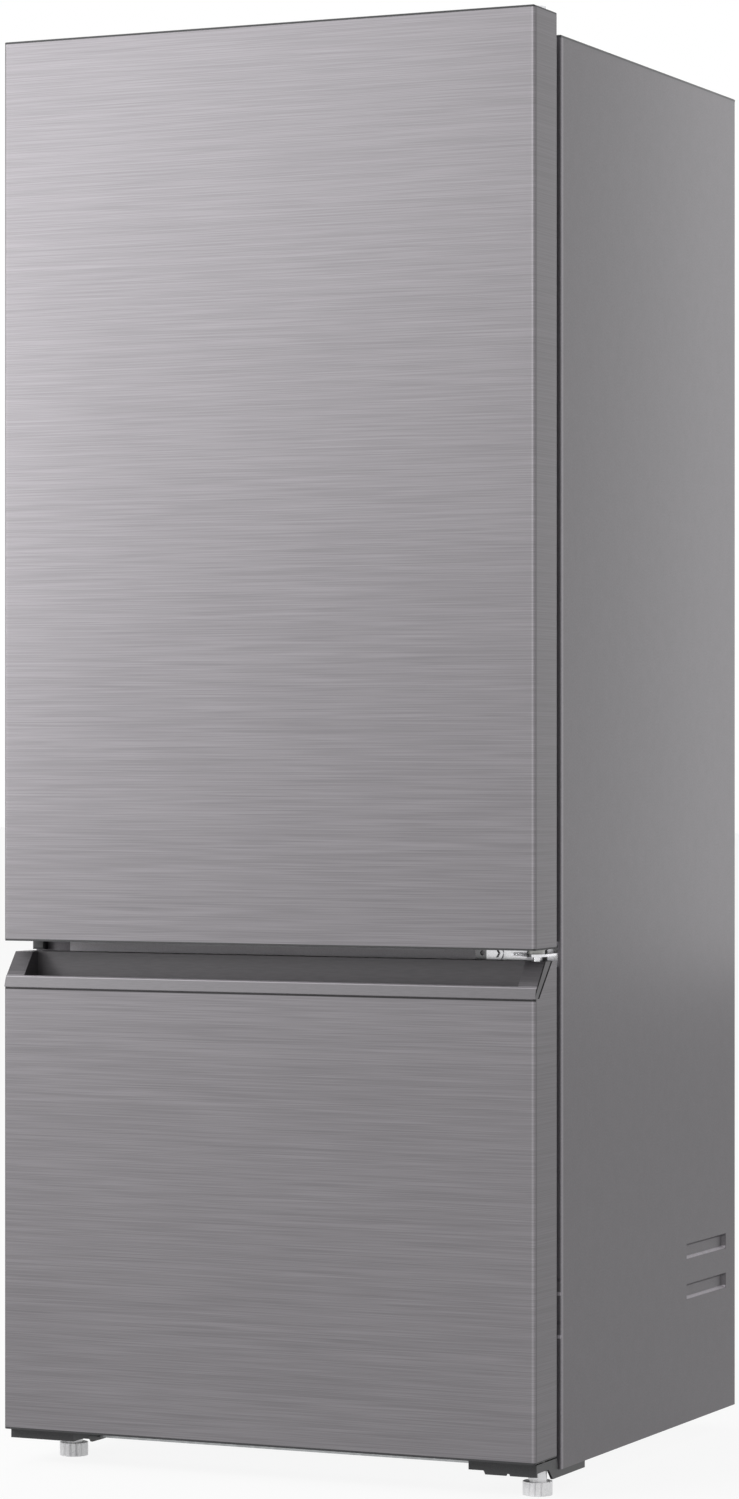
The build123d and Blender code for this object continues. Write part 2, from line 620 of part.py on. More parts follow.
with BuildPart() as lower_hinge:
    foot_bracket(1, CABINET_LOW - BRACKET_STRIP_DROP)
    block(
        (HALF_WIDTH - BRACKET_SIDE_INSET - BRACKET_WIDTH, HALF_WIDTH - BRACKET_SIDE_INSET),
        (BRACKET_FRONT, CABINET_FRONT - 2 * HINGE_PLATE),
        (BRACKET_TOP - HINGE_PLATE, BRACKET_TOP),
    )
    block(
        (HALF_WIDTH - BRACKET_SIDE_INSET - APRON_LENGTH, HALF_WIDTH - BRACKET_SIDE_INSET),
        (BRACKET_FRONT, BRACKET_FRONT + HINGE_PLATE),
        (BRACKET_LOW - APRON_DROP, BRACKET_LOW + HINGE_PLATE / 2),
    )
    with BuildSketch(front_plane(BRACKET_FRONT)):
        with Locations((HALF_WIDTH - NOTCH_INSET, BRACKET_LOW - APRON_DROP)):
            Circle(NOTCH_RADIUS)
    extrude(amount=-HINGE_PLATE, mode=Mode.SUBTRACT)
    stud_hole(RIGHT_FOOT, BRACKET_LOW)
    hinge_pin(BRACKET_TOP, FREEZER_DOOR_LOW + PIN_REACH)
save(lower_hinge, "lower_hinge")

with BuildPart() as top_hinge:
    block(
        (TOP_BASE_LEFT, TOP_BASE_RIGHT),
        (TOP_BASE_FRONT, TOP_BASE_FRONT + TOP_BASE_DEPTH),
        (CABINET_TOP, TOP_BASE_TOP),
    )
    block(
        (TOP_BASE_LEFT, TOP_BASE_RIGHT),
        (TOP_BASE_FRONT, TOP_BASE_FRONT + HINGE_PLATE),
        (TOP_BASE_TOP, TOP_ARM_LOW),
    )
    with BuildSketch(Plane.XY.offset(TOP_ARM_LOW)):
        with Locations((HINGE_X, HINGE_Y)):
            Circle(PIN_BOSS)
        with Locations(((TOP_BASE_LEFT + TOP_BASE_RIGHT) / 2, TOP_BASE_FRONT + HINGE_PLATE / 2)):
            Rectangle(TOP_BASE_WIDTH, HINGE_PLATE)
        make_hull()
    extrude(amount=HINGE_PLATE)
    hinge_pin(FRIDGE_DOOR_TOP - PIN_REACH, TOP_ARM_LOW)
save(top_hinge, "top_hinge")

COVER_LENGTH = TOP_BASE_DEPTH + TOP_COVER_MARGIN - HINGE_PLATE - FIT_GAP
COVER_WIDTH = TOP_BASE_WIDTH + 2 * TOP_COVER_MARGIN
with BuildPart() as top_hinge_cover:
    with BuildSketch(Plane.XY.offset(CABINET_TOP)):
        with Locations(((TOP_BASE_LEFT + TOP_BASE_RIGHT) / 2, COVER_FRONT + COVER_LENGTH / 2)):
            RectangleRounded(COVER_WIDTH, COVER_LENGTH, 3 * TOP_COVER_WALL)
    extrude(amount=TOP_COVER_HEIGHT)
    chamfer(top_hinge_cover.faces().sort_by(Axis.Z)[-1].edges(), TOP_COVER_WALL)
    with BuildSketch(Plane.XY.offset(CABINET_TOP)):
        with Locations(((TOP_BASE_LEFT + TOP_BASE_RIGHT) / 2, COVER_FRONT + COVER_LENGTH / 2)):
            RectangleRounded(
                COVER_WIDTH - 2 * TOP_COVER_WALL, COVER_LENGTH - 2 * TOP_COVER_WALL, 2 * TOP_COVER_WALL
            )
    extrude(amount=TOP_COVER_HEIGHT - TOP_COVER_WALL, mode=Mode.SUBTRACT)
    # the front wall is notched over the base plate
    block(
        (TOP_BASE_LEFT - FIT_GAP, TOP_BASE_RIGHT + FIT_GAP),
        (COVER_FRONT - FIT_GAP, COVER_FRONT + TOP_COVER_WALL + FIT_GAP),
        (CABINET_TOP, TOP_BASE_TOP + FIT_GAP),
        Mode.SUBTRACT,
    )
save(top_hinge_cover, "top_hinge_cover")


def screws(plane, places):
    """Hexagon screw heads that stand on a plane, each a solid of its own."""
    with BuildSketch(plane) as heads:
        with Locations(*places):
            RegularPolygon(SCREW_HEAD_RADIUS, 6)
    extrude(heads.sketch, amount=SCREW_HEAD_HEIGHT)


TOP_SCREW_PITCH = 34.0
FLANGE_SCREW_INSET = 20.0
STRIP_SCREW_PITCH = 48.0
with BuildPart() as hinge_screws:
    screws(
        Plane.XY.offset(TOP_BASE_TOP),
        [
            ((TOP_BASE_LEFT + TOP_BASE_RIGHT) / 2 + dx, TOP_BASE_FRONT + TOP_BASE_DEPTH / 2 + dy)
            for dx in (-TOP_SCREW_PITCH / 2, TOP_SCREW_PITCH / 2)
            for dy in (-TOP_SCREW_PITCH / 2, TOP_SCREW_PITCH / 2)
        ],
    )
    screws(
        front_plane(CABINET_FRONT - HINGE_PLATE - MIDDLE_BOSS_HEIGHT),
        [(HALF_WIDTH - MIDDLE_BOSS_INSET, SLOT_MIDDLE)],
    )
    screws(
        front_plane(CABINET_FRONT - HINGE_PLATE),
        [(HALF_WIDTH - FLANGE_SCREW_INSET, SLOT_MIDDLE + MIDDLE_FLANGE_HEIGHT / 2 - SCREW_HEAD_RADIUS)],
    )
    for hinge_side in (-1, 1):
        middle = hinge_side * (HALF_WIDTH - BRACKET_SIDE_INSET - BRACKET_WIDTH / 2)
        screws(
            Plane.XY.offset(CABINET_LOW - HINGE_PLATE - SCREW_HEAD_HEIGHT),
            [
                (middle + dx, (BRACKET_BACK + STRIP_BACK) / 2)
                for dx in (-STRIP_SCREW_PITCH / 2, STRIP_SCREW_PITCH / 2)
            ],
        )
save(hinge_screws, "hinge_screws")

# ---------------------------------------------------------------- inside the fridge
DUCT_WIDTH = 180.0
DUCT_DEPTH = 20.0
DUCT_FOOT = 34.0  # above the fridge floor
DUCT_HEAD = 18.0  # below the ceiling
VENT_WIDTH = 46.0
VENT_HEIGHT = 7.0
VENT_DEPTH = 9.0
VENT_PITCH = 13.0
VENT_ROWS = 3
LENS_WIDTH = 240.0
LENS_LENGTH = 70.0
LENS_DEPTH = 10.0
CONTROL_WIDTH = 260.0
CONTROL_LENGTH = 62.0
CONTROL_HEIGHT = 18.0
CONTROL_FRONT = 52.0  # behind the cabinet's front, clear of the door's ridge
BUTTON_WIDTH = 22.0
BUTTON_LENGTH = 12.0
BUTTON_PROUD = 1.5
BUTTON_TRAVEL = 1.2
BUTTON_BODY = 8.0
SHELF_FRONT = 107.0  # behind the cabinet's front
SHELF_BACK_GAP = 14.0  # before the air duct
SHELF_HEIGHT = 14.0
SHELF_BORDER = 12.0
SHELF_LEDGE = 6.0
GLASS = 4.0
SHELF_SIDE_GAP = 2.0

DUCT_FRONT = FRIDGE_INNER_BACK - DUCT_DEPTH
DUCT_LOW = FRIDGE_FLOOR + DUCT_FOOT
DUCT_TOP = FRIDGE_CEILING - DUCT_HEAD
SHELF_HALF = FRIDGE_INNER_HALF - SHELF_SIDE_GAP
SHELF_Y = CABINET_FRONT + SHELF_FRONT
SHELF_BACK = DUCT_FRONT - SHELF_BACK_GAP
CONTROL_Y = CABINET_FRONT + CONTROL_FRONT
CONTROL_LOW = FRIDGE_CEILING - CONTROL_HEIGHT

with BuildPart() as air_duct:
    with BuildSketch(Plane.XY.offset(DUCT_LOW)):
        Polygon(
            (-DUCT_WIDTH / 2, FRIDGE_INNER_BACK),
            (-DUCT_WIDTH / 2 + DUCT_DEPTH, DUCT_FRONT),
            (DUCT_WIDTH / 2 - DUCT_DEPTH, DUCT_FRONT),
            (DUCT_WIDTH / 2, FRIDGE_INNER_BACK),
            align=None,
        )
    extrude(amount=DUCT_TOP - DUCT_LOW)
    # outlets above each shelf
    with BuildSketch(front_plane(DUCT_FRONT)):
        for shelf_level in SHELF_LEVELS:
            with Locations((0, shelf_level + SHELF_HEIGHT + VENT_ROWS * 2 * VENT_PITCH)):
                with GridLocations(VENT_WIDTH + VENT_HEIGHT, VENT_PITCH, 2, VENT_ROWS):
                    Rectangle(VENT_WIDTH, VENT_HEIGHT)
    extrude(amount=-VENT_DEPTH, mode=Mode.SUBTRACT)
save(air_duct, "air_duct")

with BuildPart() as light_lens:
    with BuildSketch(Plane.XY.offset(FRIDGE_CEILING)):
        with Locations((0, CONTROL_Y + CONTROL_LENGTH + LENS_LENGTH)):
            RectangleRounded(LENS_WIDTH, LENS_LENGTH, LENS_LENGTH / 4)
    extrude(amount=-LENS_DEPTH, taper=20)
save(light_lens, "light_lens")

BUTTON_Y = CONTROL_Y + CONTROL_LENGTH / 2
BUTTON_TOP = CONTROL_LOW + BUTTON_BODY
with BuildPart() as control_panel:
    prism(
        side_plane(-CONTROL_WIDTH / 2),
        [
            (CONTROL_Y, FRIDGE_CEILING),
            (CONTROL_Y, FRIDGE_CEILING - CONTROL_HEIGHT / 2),
            (CONTROL_Y + CONTROL_HEIGHT / 2, CONTROL_LOW),
            (CONTROL_Y + CONTROL_LENGTH, CONTROL_LOW),
            (CONTROL_Y + CONTROL_LENGTH, FRIDGE_CEILING),
        ],
        CONTROL_WIDTH,
    )
    with BuildSketch(Plane.XY.offset(CONTROL_LOW)):
        with Locations((0, BUTTON_Y)):
            Rectangle(BUTTON_WIDTH + 2 * SKIN_GAP, BUTTON_LENGTH + 2 * SKIN_GAP)
    extrude(amount=BUTTON_BODY + BUTTON_TRAVEL + SKIN_GAP, mode=Mode.SUBTRACT)
save(control_panel, "control_panel")

with BuildPart() as temperature_button:
    block(
        (-BUTTON_WIDTH / 2, BUTTON_WIDTH / 2),
        (BUTTON_Y - BUTTON_LENGTH / 2, BUTTON_Y + BUTTON_LENGTH / 2),
        (CONTROL_LOW - BUTTON_PROUD, BUTTON_TOP),
    )
    chamfer(temperature_button.faces().sort_by(Axis.Z)[0].edges(), BUTTON_PROUD / 2)
save(temperature_button, "temperature_button")


def shelf(level, name):
    """A glass plate held in a moulded border; the border's front is a rounded bar."""
    with BuildPart() as trim:
        with BuildSketch(side_plane(-SHELF_HALF)):
            with BuildLine():
                Polyline(
                    (SHELF_Y + SHELF_HEIGHT / 2, level),
                    (SHELF_BACK, level),
                    (SHELF_BACK, level + SHELF_HEIGHT),
                    (SHELF_Y + SHELF_HEIGHT / 2, level + SHELF_HEIGHT),
                )
                ThreePointArc(
                    (SHELF_Y + SHELF_HEIGHT / 2, level + SHELF_HEIGHT),
                    (SHELF_Y, level + SHELF_HEIGHT / 2),
                    (SHELF_Y + SHELF_HEIGHT / 2, level),
                )
            make_face()
        extrude(amount=2 * SHELF_HALF)
        seat = level + SHELF_HEIGHT - GLASS
        block(
            (-SHELF_HALF + SHELF_BORDER, SHELF_HALF - SHELF_BORDER),
            (SHELF_Y + 2 * SHELF_BORDER, SHELF_BACK - SHELF_BORDER),
            (seat, level + SHELF_HEIGHT),
            Mode.SUBTRACT,
        )
        block(
            (-SHELF_HALF + SHELF_BORDER + SHELF_LEDGE, SHELF_HALF - SHELF_BORDER - SHELF_LEDGE),
            (SHELF_Y + 2 * SHELF_BORDER + SHELF_LEDGE, SHELF_BACK - SHELF_BORDER - SHELF_LEDGE),
            (level, seat),
            Mode.SUBTRACT,
        )
    save(trim, name + "_trim")
    with BuildPart() as glass:
        block(
            (-SHELF_HALF + SHELF_BORDER + SKIN_GAP, SHELF_HALF - SHELF_BORDER - SKIN_GAP),
            (SHELF_Y + 2 * SHELF_BORDER + SKIN_GAP, SHELF_BACK - SHELF_BORDER - SKIN_GAP),
            (seat, level + SHELF_HEIGHT),
        )
    save(glass, name + "_glass")


shelf(SHELF_LEVELS[0], "crisper_cover")
shelf(SHELF_LEVELS[1], "lower_shelf")
shelf(SHELF_LEVELS[2], "upper_shelf")

# ---------------------------------------------------------------- drawers
DRAWER_WALL = 2.5
DRAWER_DRAFT = 2.0  # degrees
DRAWER_FRONT_WALL = 5.0
DRAWER_LIP = 12.0
DRAWER_LIP_HEIGHT = 4.0
GRIP_SLOT_WIDTH = 150.0
GRIP_SLOT_HEIGHT = 22.0
GRIP_SLOT_DROP = 16.0  # below the drawer's rim
SLIDE_GAP = 2.0  # each side of a drawer
FREEZER_DRAWER_FRONT = 30.0  # behind the cabinet's front
CRISPER_SIDE_GAP = 32.0  # beside it, past the shelf rails
CRISPER_HEIGHT = 200.0
CRISPER_BACK_GAP = 26.0  # before the shelves' back
BOTTOM_DRAWER_GAP = 32.0  # before the freezer's step
BOTTOM_DRAWER_HEIGHT = 182.0
UPPER_DRAWER_GAP = 31.0  # before the evaporator's cover
MIDDLE_DRAWER_HEIGHT = 132.0
TOP_DRAWER_HEIGHT = 140.0
DRAWER_RISE = 6.0  # rim above the lip that rides on the rail

DRAWER_HALF = FREEZER_INNER_HALF - DRAWER_RAIL_WIDTH - SLIDE_GAP
DRAWER_Y = CABINET_FRONT + FREEZER_DRAWER_FRONT
BOTTOM_DRAWER_LENGTH = STEP_LOW_Y - LINER_WALL - BOTTOM_DRAWER_GAP - DRAWER_Y
UPPER_DRAWER_LENGTH = COVER_FACE - UPPER_DRAWER_GAP - DRAWER_Y
CRISPER_HALF = FRIDGE_INNER_HALF - CRISPER_SIDE_GAP
CRISPER_LENGTH = SHELF_BACK - CRISPER_BACK_GAP - SHELF_Y


def drawer(name, half, front, length, low, height, lip):
    """An open moulded drawer with a thick front, a grip slot and, where it hangs, side lips."""
    with BuildPart() as tub:
        with BuildSketch(Plane.XY.offset(low + height)):
            with Locations((0, front + length / 2)):
                RectangleRounded(2 * half, length, 4 * DRAWER_WALL)
        extrude(amount=-height, taper=DRAWER_DRAFT)
        with BuildSketch(Plane.XY.offset(low + height)):
            with Locations((0, front + (length + DRAWER_FRONT_WALL - DRAWER_WALL) / 2)):
                RectangleRounded(
                    2 * half - 2 * DRAWER_WALL,
                    length - DRAWER_FRONT_WALL - DRAWER_WALL,
                    3 * DRAWER_WALL,
                )
        extrude(amount=-height + DRAWER_WALL, taper=DRAWER_DRAFT, mode=Mode.SUBTRACT)
        # upright front plate over the drawer's tapered face
        block((-half, half), (front, front + DRAWER_FRONT_WALL), (low, low + height))
        with BuildSketch(front_plane(front)):
            with Locations((0, low + height - GRIP_SLOT_DROP - GRIP_SLOT_HEIGHT / 2)):
                SlotOverall(GRIP_SLOT_WIDTH, GRIP_SLOT_HEIGHT)
        extrude(amount=-2 * DRAWER_FRONT_WALL, mode=Mode.SUBTRACT)
        if lip:
            for side in (-1, 1):
                edges = sorted((side * (half - DRAWER_WALL), side * (half + lip)))
                block(
                    edges,
                    (front + DRAWER_LIP, front + length - DRAWER_LIP),
                    (low + height - DRAWER_RISE, low + height - DRAWER_RISE + DRAWER_LIP_HEIGHT),
                )
    save(tub, name)


drawer("crisper_drawer", CRISPER_HALF, SHELF_Y, CRISPER_LENGTH, FRIDGE_FLOOR, CRISPER_HEIGHT, 0)
drawer(
    "freezer_drawer_bottom",
    DRAWER_HALF,
    DRAWER_Y,
    BOTTOM_DRAWER_LENGTH,
    FREEZER_FLOOR,
    BOTTOM_DRAWER_HEIGHT,
    0,
)
for drawer_name, rail_top, drawer_height in (
    ("freezer_drawer_middle", MIDDLE_RAIL, MIDDLE_DRAWER_HEIGHT),
    ("freezer_drawer_top", TOP_RAIL, TOP_DRAWER_HEIGHT),
):
    drawer(
        drawer_name,
        DRAWER_HALF,
        DRAWER_Y,
        UPPER_DRAWER_LENGTH,
        rail_top + DRAWER_RISE - drawer_height,
        drawer_height,
        DRAWER_LIP,
    )

# ---------------------------------------------------------------- cooling, inside the freezer
FAN_RADIUS = 50.0
FAN_DROP = 76.0  # centre, below the freezer's ceiling
FAN_HUB_RADIUS = 14.0
FAN_HUB_DEPTH = 16.0
FAN_BLADES = 5
FAN_BLADE_CHORD = 26.0
FAN_BLADE_THICKNESS = 2.0
FAN_BLADE_PITCH = 30.0  # degrees
FAN_SHAFT_RADIUS = 3.0
FAN_COVER_GAP = 4.0
MOTOR_RADIUS = 26.0
MOTOR_DEPTH = 20.0
MOTOR_PLATE_WIDTH = 120.0
MOTOR_PLATE_HEIGHT = 44.0
MOTOR_PLATE = 3.0
GRILLE_BAR = 4.0
GRILLE_PITCH = 16.0
RETURN_SLOTS = 9
RETURN_SLOT_WIDTH = 34.0
RETURN_SLOT_HEIGHT = 10.0
RETURN_SLOT_LIFT = 22.0
FIN_END_GAP = 64.0  # from the last fins to the liner's sides
FINS = 15
FIN_SHEET = 1.2
FIN_DEPTH = 44.0
FIN_HEIGHT = 140.0
FIN_LIFT = 6.0
FIN_CORE = 20.0
EVAPORATOR_TUBE_RADIUS = 4.0
PIPE_FACETS = 8  # flats that stand for a thin tube's roundness
TUBE_STUB = 10.0

COOLER_FLOOR = STEP_TOP + LINER_WALL
FAN_Z = FREEZER_CEILING - FAN_DROP
MOTOR_FRONT = FREEZER_INNER_BACK - MOTOR_PLATE - MOTOR_DEPTH
FAN_FRONT = COVER_BACK + FAN_COVER_GAP
FIN_HALF_SPAN = FREEZER_INNER_HALF - FIN_END_GAP

with BuildPart() as evaporator_cover:
    block(
        (-FREEZER_INNER_HALF + FIT_GAP, FREEZER_INNER_HALF - FIT_GAP),
        (COVER_FACE, COVER_BACK),
        (COOLER_FLOOR, FREEZER_CEILING),
    )
    with BuildSketch(front_plane(COVER_BACK)):
        with Locations((0, FAN_Z)):
            Circle(FAN_RADIUS)
            with GridLocations(0, GRILLE_PITCH, 1, 5):
                Rectangle(2 * FAN_RADIUS, GRILLE_BAR, mode=Mode.SUBTRACT)
        with Locations((0, COOLER_FLOOR + RETURN_SLOT_LIFT)):
            with GridLocations(RETURN_SLOT_WIDTH * 1.5, 0, RETURN_SLOTS, 1):
                Rectangle(RETURN_SLOT_WIDTH, RETURN_SLOT_HEIGHT)
    extrude(amount=COOLER_COVER, mode=Mode.SUBTRACT)
save(evaporator_cover, "evaporator_cover")

FIN_Y = (COVER_BACK + FREEZER_INNER_BACK) / 2
FIN_LOW = COOLER_FLOOR + FIN_LIFT
with BuildPart() as evaporator:
    with BuildSketch(Plane.XY.offset(FIN_LOW)):
        with Locations((0, FIN_Y)):
            with GridLocations(2 * FIN_HALF_SPAN / (FINS - 1), 0, FINS, 1):
                Rectangle(FIN_SHEET, FIN_DEPTH)
    extrude(amount=FIN_HEIGHT)
    block(
        (-FIN_HALF_SPAN, FIN_HALF_SPAN),
        (FIN_Y - FIN_CORE / 2, FIN_Y + FIN_CORE / 2),
        (FIN_LOW + FIN_CORE, FIN_LOW + FIN_HEIGHT - FIN_CORE),
    )
    # tube ends outside the last fins, and feet on the liner's step
    with BuildSketch(side_plane(-FIN_HALF_SPAN - TUBE_STUB)):
        with Locations((FIN_Y, FIN_LOW + FIN_HEIGHT / 2)):
            with GridLocations(FIN_DEPTH / 2, FIN_HEIGHT / 4, 2, 4):
                RegularPolygon(EVAPORATOR_TUBE_RADIUS, PIPE_FACETS)
    extrude(amount=TUBE_STUB)
    with BuildSketch(side_plane(FIN_HALF_SPAN)):
        with Locations((FIN_Y, FIN_LOW + FIN_HEIGHT / 2)):
            with GridLocations(FIN_DEPTH / 2, FIN_HEIGHT / 4, 2, 4):
                RegularPolygon(EVAPORATOR_TUBE_RADIUS, PIPE_FACETS)
    extrude(amount=TUBE_STUB)
    for fin_end in (-FIN_HALF_SPAN, FIN_HALF_SPAN):
        block(
            (fin_end - FIN_SHEET, fin_end + FIN_SHEET),
            (FIN_Y - FIN_DEPTH / 2, FIN_Y + FIN_DEPTH / 2),
            (COOLER_FLOOR, FIN_LOW + FIN_HEIGHT),
        )
save(evaporator, "evaporator")

with BuildPart() as evaporator_fan_motor:
    block(
        (-MOTOR_PLATE_WIDTH / 2, MOTOR_PLATE_WIDTH / 2),
        (FREEZER_INNER_BACK - MOTOR_PLATE, FREEZER_INNER_BACK),
        (FAN_Z - MOTOR_PLATE_HEIGHT / 2, FAN_Z + MOTOR_PLATE_HEIGHT / 2),
    )
    with BuildSketch(front_plane(FREEZER_INNER_BACK - MOTOR_PLATE)):
        with Locations((0, FAN_Z)):
            Circle(MOTOR_RADIUS)
    extrude(amount=MOTOR_DEPTH)
    chamfer(evaporator_fan_motor.faces().sort_by(Axis.Y)[0].edges(), MOTOR_DEPTH / 5)
    with BuildSketch(front_plane(MOTOR_FRONT)):
        with Locations((0, FAN_Z)):
            Circle(FAN_SHAFT_RADIUS)
    extrude(amount=MOTOR_FRONT - FAN_FRONT)
save(evaporator_fan_motor, "evaporator_fan_motor")

with BuildPart() as evaporator_fan:
    with BuildSketch(front_plane(FAN_FRONT + FAN_HUB_DEPTH)):
        with Locations((0, FAN_Z)):
            Circle(FAN_HUB_RADIUS)
    extrude(amount=FAN_HUB_DEPTH)
    fan_middle = (0, FAN_FRONT + FAN_HUB_DEPTH / 2, FAN_Z)
    for blade in range(FAN_BLADES):
        turn = radians(360 / FAN_BLADES * blade)
        outward = (cos(turn), 0, sin(turn))
        root = Plane(origin=fan_middle, x_dir=(0, 1, 0), z_dir=outward).offset(FAN_HUB_RADIUS / 2)
        with BuildSketch(root):
            Rectangle(FAN_BLADE_CHORD, FAN_BLADE_THICKNESS, rotation=90 - FAN_BLADE_PITCH)
        extrude(amount=FAN_RADIUS - FAN_COVER_GAP - FAN_HUB_RADIUS / 2)
    with BuildSketch(front_plane(FAN_FRONT + FAN_HUB_DEPTH)):
        with Locations((0, FAN_Z)):
            Circle(FAN_SHAFT_RADIUS + PIN_CLEARANCE)
    extrude(amount=FAN_HUB_DEPTH, mode=Mode.SUBTRACT)
save(evaporator_fan, "evaporator_fan")

# ---------------------------------------------------------------- machine compartment
COMPRESSOR_INSET = 190.0  # its middle, in from the right side
COMPRESSOR_RADIUS = 64.0
COMPRESSOR_HEIGHT = 138.0
COMPRESSOR_SEAM = 6.0
COMPRESSOR_DOME = 29.0
DOME_RISES = (0, 25, 50, 75)  # degrees, the dome's steps
CAN_FOOT_RADIUS = 51.0
CAN_SHOULDER = 19.0
COMPRESSOR_SEAM_RADIUS = 71.0
COMPRESSOR_PLATE_WIDTH = 190.0
COMPRESSOR_PLATE_LENGTH = 120.0
COMPRESSOR_PLATE = 3.0
GROMMET_RADIUS = 10.0
GROMMET_HEIGHT = 12.0
TRAY_LEFT_INSET = 92.0
TRAY_WIDTH = 230.0
TRAY_LENGTH = 150.0
TRAY_HEIGHT = 40.0
TRAY_WALL = 2.5
PIPE_RADIUS = 3.5
PIPE_BEND = 18.0
PIPE_RUN_Z = 188.0
PIPE_RUN = 200.0  # over to the left of the compressor
PIPE_SPACING = 34.0
DRIER_RADIUS = 9.0
DRIER_LENGTH = 70.0
MACHINE_COVER = 2.0
LOUVRE_WIDTH = 40.0
LOUVRE_HEIGHT = 6.0
LOUVRE_COLUMNS = 8
LOUVRE_ROWS = 4

MACHINE_Y = (MACHINE_FRONT + CABINET_BACK) / 2
COMPRESSOR_X = HALF_WIDTH - COMPRESSOR_INSET
PIPE_RUN_LEFT = COMPRESSOR_X - PIPE_RUN
GROMMET_TOP = PAN_TOP + GROMMET_HEIGHT
SEAM_TOP = GROMMET_TOP + COMPRESSOR_HEIGHT / 2 + COMPRESSOR_SEAM

with BuildPart() as compressor:
    with BuildSketch(Plane.XY.offset(PAN_TOP)):
        with Locations((COMPRESSOR_X, MACHINE_Y)):
            with GridLocations(
                COMPRESSOR_PLATE_WIDTH - 3 * GROMMET_RADIUS,
                COMPRESSOR_PLATE_LENGTH - 3 * GROMMET_RADIUS,
                2,
                2,
            ):
                Circle(GROMMET_RADIUS)
    extrude(amount=GROMMET_HEIGHT)
    with BuildSketch(Plane.XY.offset(GROMMET_TOP)):
        with Locations((COMPRESSOR_X, MACHINE_Y)):
            RectangleRounded(COMPRESSOR_PLATE_WIDTH, COMPRESSOR_PLATE_LENGTH, 1.5 * GROMMET_RADIUS)
    extrude(amount=COMPRESSOR_PLATE)
    # the welded can: two domed halves with the seam between them
    can_base = (COMPRESSOR_X, MACHINE_Y, GROMMET_TOP)
    with BuildSketch(Plane(origin=can_base, x_dir=(1, 0, 0), z_dir=(0, -1, 0))):
        with BuildLine():
            Polyline(
                (0, 0),
                (CAN_FOOT_RADIUS, 0),
                (COMPRESSOR_RADIUS, CAN_SHOULDER),
                (COMPRESSOR_RADIUS, COMPRESSOR_HEIGHT / 2),
                (COMPRESSOR_SEAM_RADIUS, COMPRESSOR_HEIGHT / 2),
                (COMPRESSOR_SEAM_RADIUS, COMPRESSOR_HEIGHT / 2 + COMPRESSOR_SEAM),
                (COMPRESSOR_RADIUS, COMPRESSOR_HEIGHT / 2 + COMPRESSOR_SEAM),
                *[
                    (
                        COMPRESSOR_RADIUS * cos(radians(rise)),
                        COMPRESSOR_HEIGHT - COMPRESSOR_DOME * (1 - sin(radians(rise))),
                    )
                    for rise in DOME_RISES
                ],
                (0, COMPRESSOR_HEIGHT),
                close=True,
            )
        make_face()
    revolve(axis=Axis((COMPRESSOR_X, MACHINE_Y, 0), (0, 0, 1)))
save(compressor, "compressor")

TRAY_X = -HALF_WIDTH + TRAY_LEFT_INSET + TRAY_WIDTH / 2
with BuildPart() as drip_tray:
    with BuildSketch(Plane.XY.offset(PAN_TOP)):
        with Locations((TRAY_X, MACHINE_Y)):
            RectangleRounded(TRAY_WIDTH, TRAY_LENGTH, 4 * TRAY_WALL)
    extrude(amount=TRAY_HEIGHT, taper=-DRAWER_DRAFT)
    with BuildSketch(Plane.XY.offset(PAN_TOP + TRAY_WALL)):
        with Locations((TRAY_X, MACHINE_Y)):
            RectangleRounded(TRAY_WIDTH - 2 * TRAY_WALL, TRAY_LENGTH - 2 * TRAY_WALL, 3 * TRAY_WALL)
    extrude(amount=TRAY_HEIGHT, taper=-DRAWER_DRAFT, mode=Mode.SUBTRACT)
save(drip_tray, "drip_tray")


def pipe(start_x, start_y, end_x):
    """A copper pipe from the compressor's seam, over to the left and up into the foam."""
    with BuildLine() as route:
        FilletPolyline(
            (start_x, start_y, SEAM_TOP),
            (start_x, start_y, PIPE_RUN_Z),
            (end_x, start_y, PIPE_RUN_Z),
            (end_x, start_y, MACHINE_TOP),
            radius=min(PIPE_BEND, 0.9 * (MACHINE_TOP - PIPE_RUN_Z)),
        )
    with BuildSketch(Plane(origin=route.line @ 0, z_dir=route.line % 0)) as section:
        RegularPolygon(PIPE_RADIUS, PIPE_FACETS)
    sweep(section.sketch, path=route.line)


SEAM_MIDDLE_RADIUS = (COMPRESSOR_RADIUS + COMPRESSOR_SEAM_RADIUS) / 2
with BuildPart() as refrigerant_pipes:
    pipe(COMPRESSOR_X, MACHINE_Y - SEAM_MIDDLE_RADIUS, PIPE_RUN_LEFT)
    pipe(COMPRESSOR_X, MACHINE_Y + SEAM_MIDDLE_RADIUS, PIPE_RUN_LEFT - PIPE_SPACING)
    # filter drier in the rear pipe's level run
    with BuildSketch(side_plane(PIPE_RUN_LEFT)):
        with Locations((MACHINE_Y + SEAM_MIDDLE_RADIUS, PIPE_RUN_Z)):
            Circle(DRIER_RADIUS)
    extrude(amount=DRIER_LENGTH)
save(refrigerant_pipes, "refrigerant_pipes")

with BuildPart() as machine_cover:
    block(
        (-HALF_WIDTH + REAR_FLANGE, HALF_WIDTH - REAR_FLANGE),
        (CABINET_BACK - MACHINE_COVER, CABINET_BACK),
        (CABINET_LOW, MACHINE_TOP),
    )
    with BuildSketch(front_plane(CABINET_BACK)):
        with Locations((0, (CABINET_LOW + MACHINE_TOP) / 2)):
            with GridLocations(1.5 * LOUVRE_WIDTH, 4 * LOUVRE_HEIGHT, LOUVRE_COLUMNS, LOUVRE_ROWS):
                Rectangle(LOUVRE_WIDTH, LOUVRE_HEIGHT)
    extrude(amount=MACHINE_COVER, mode=Mode.SUBTRACT)
save(machine_cover, "machine_cover")

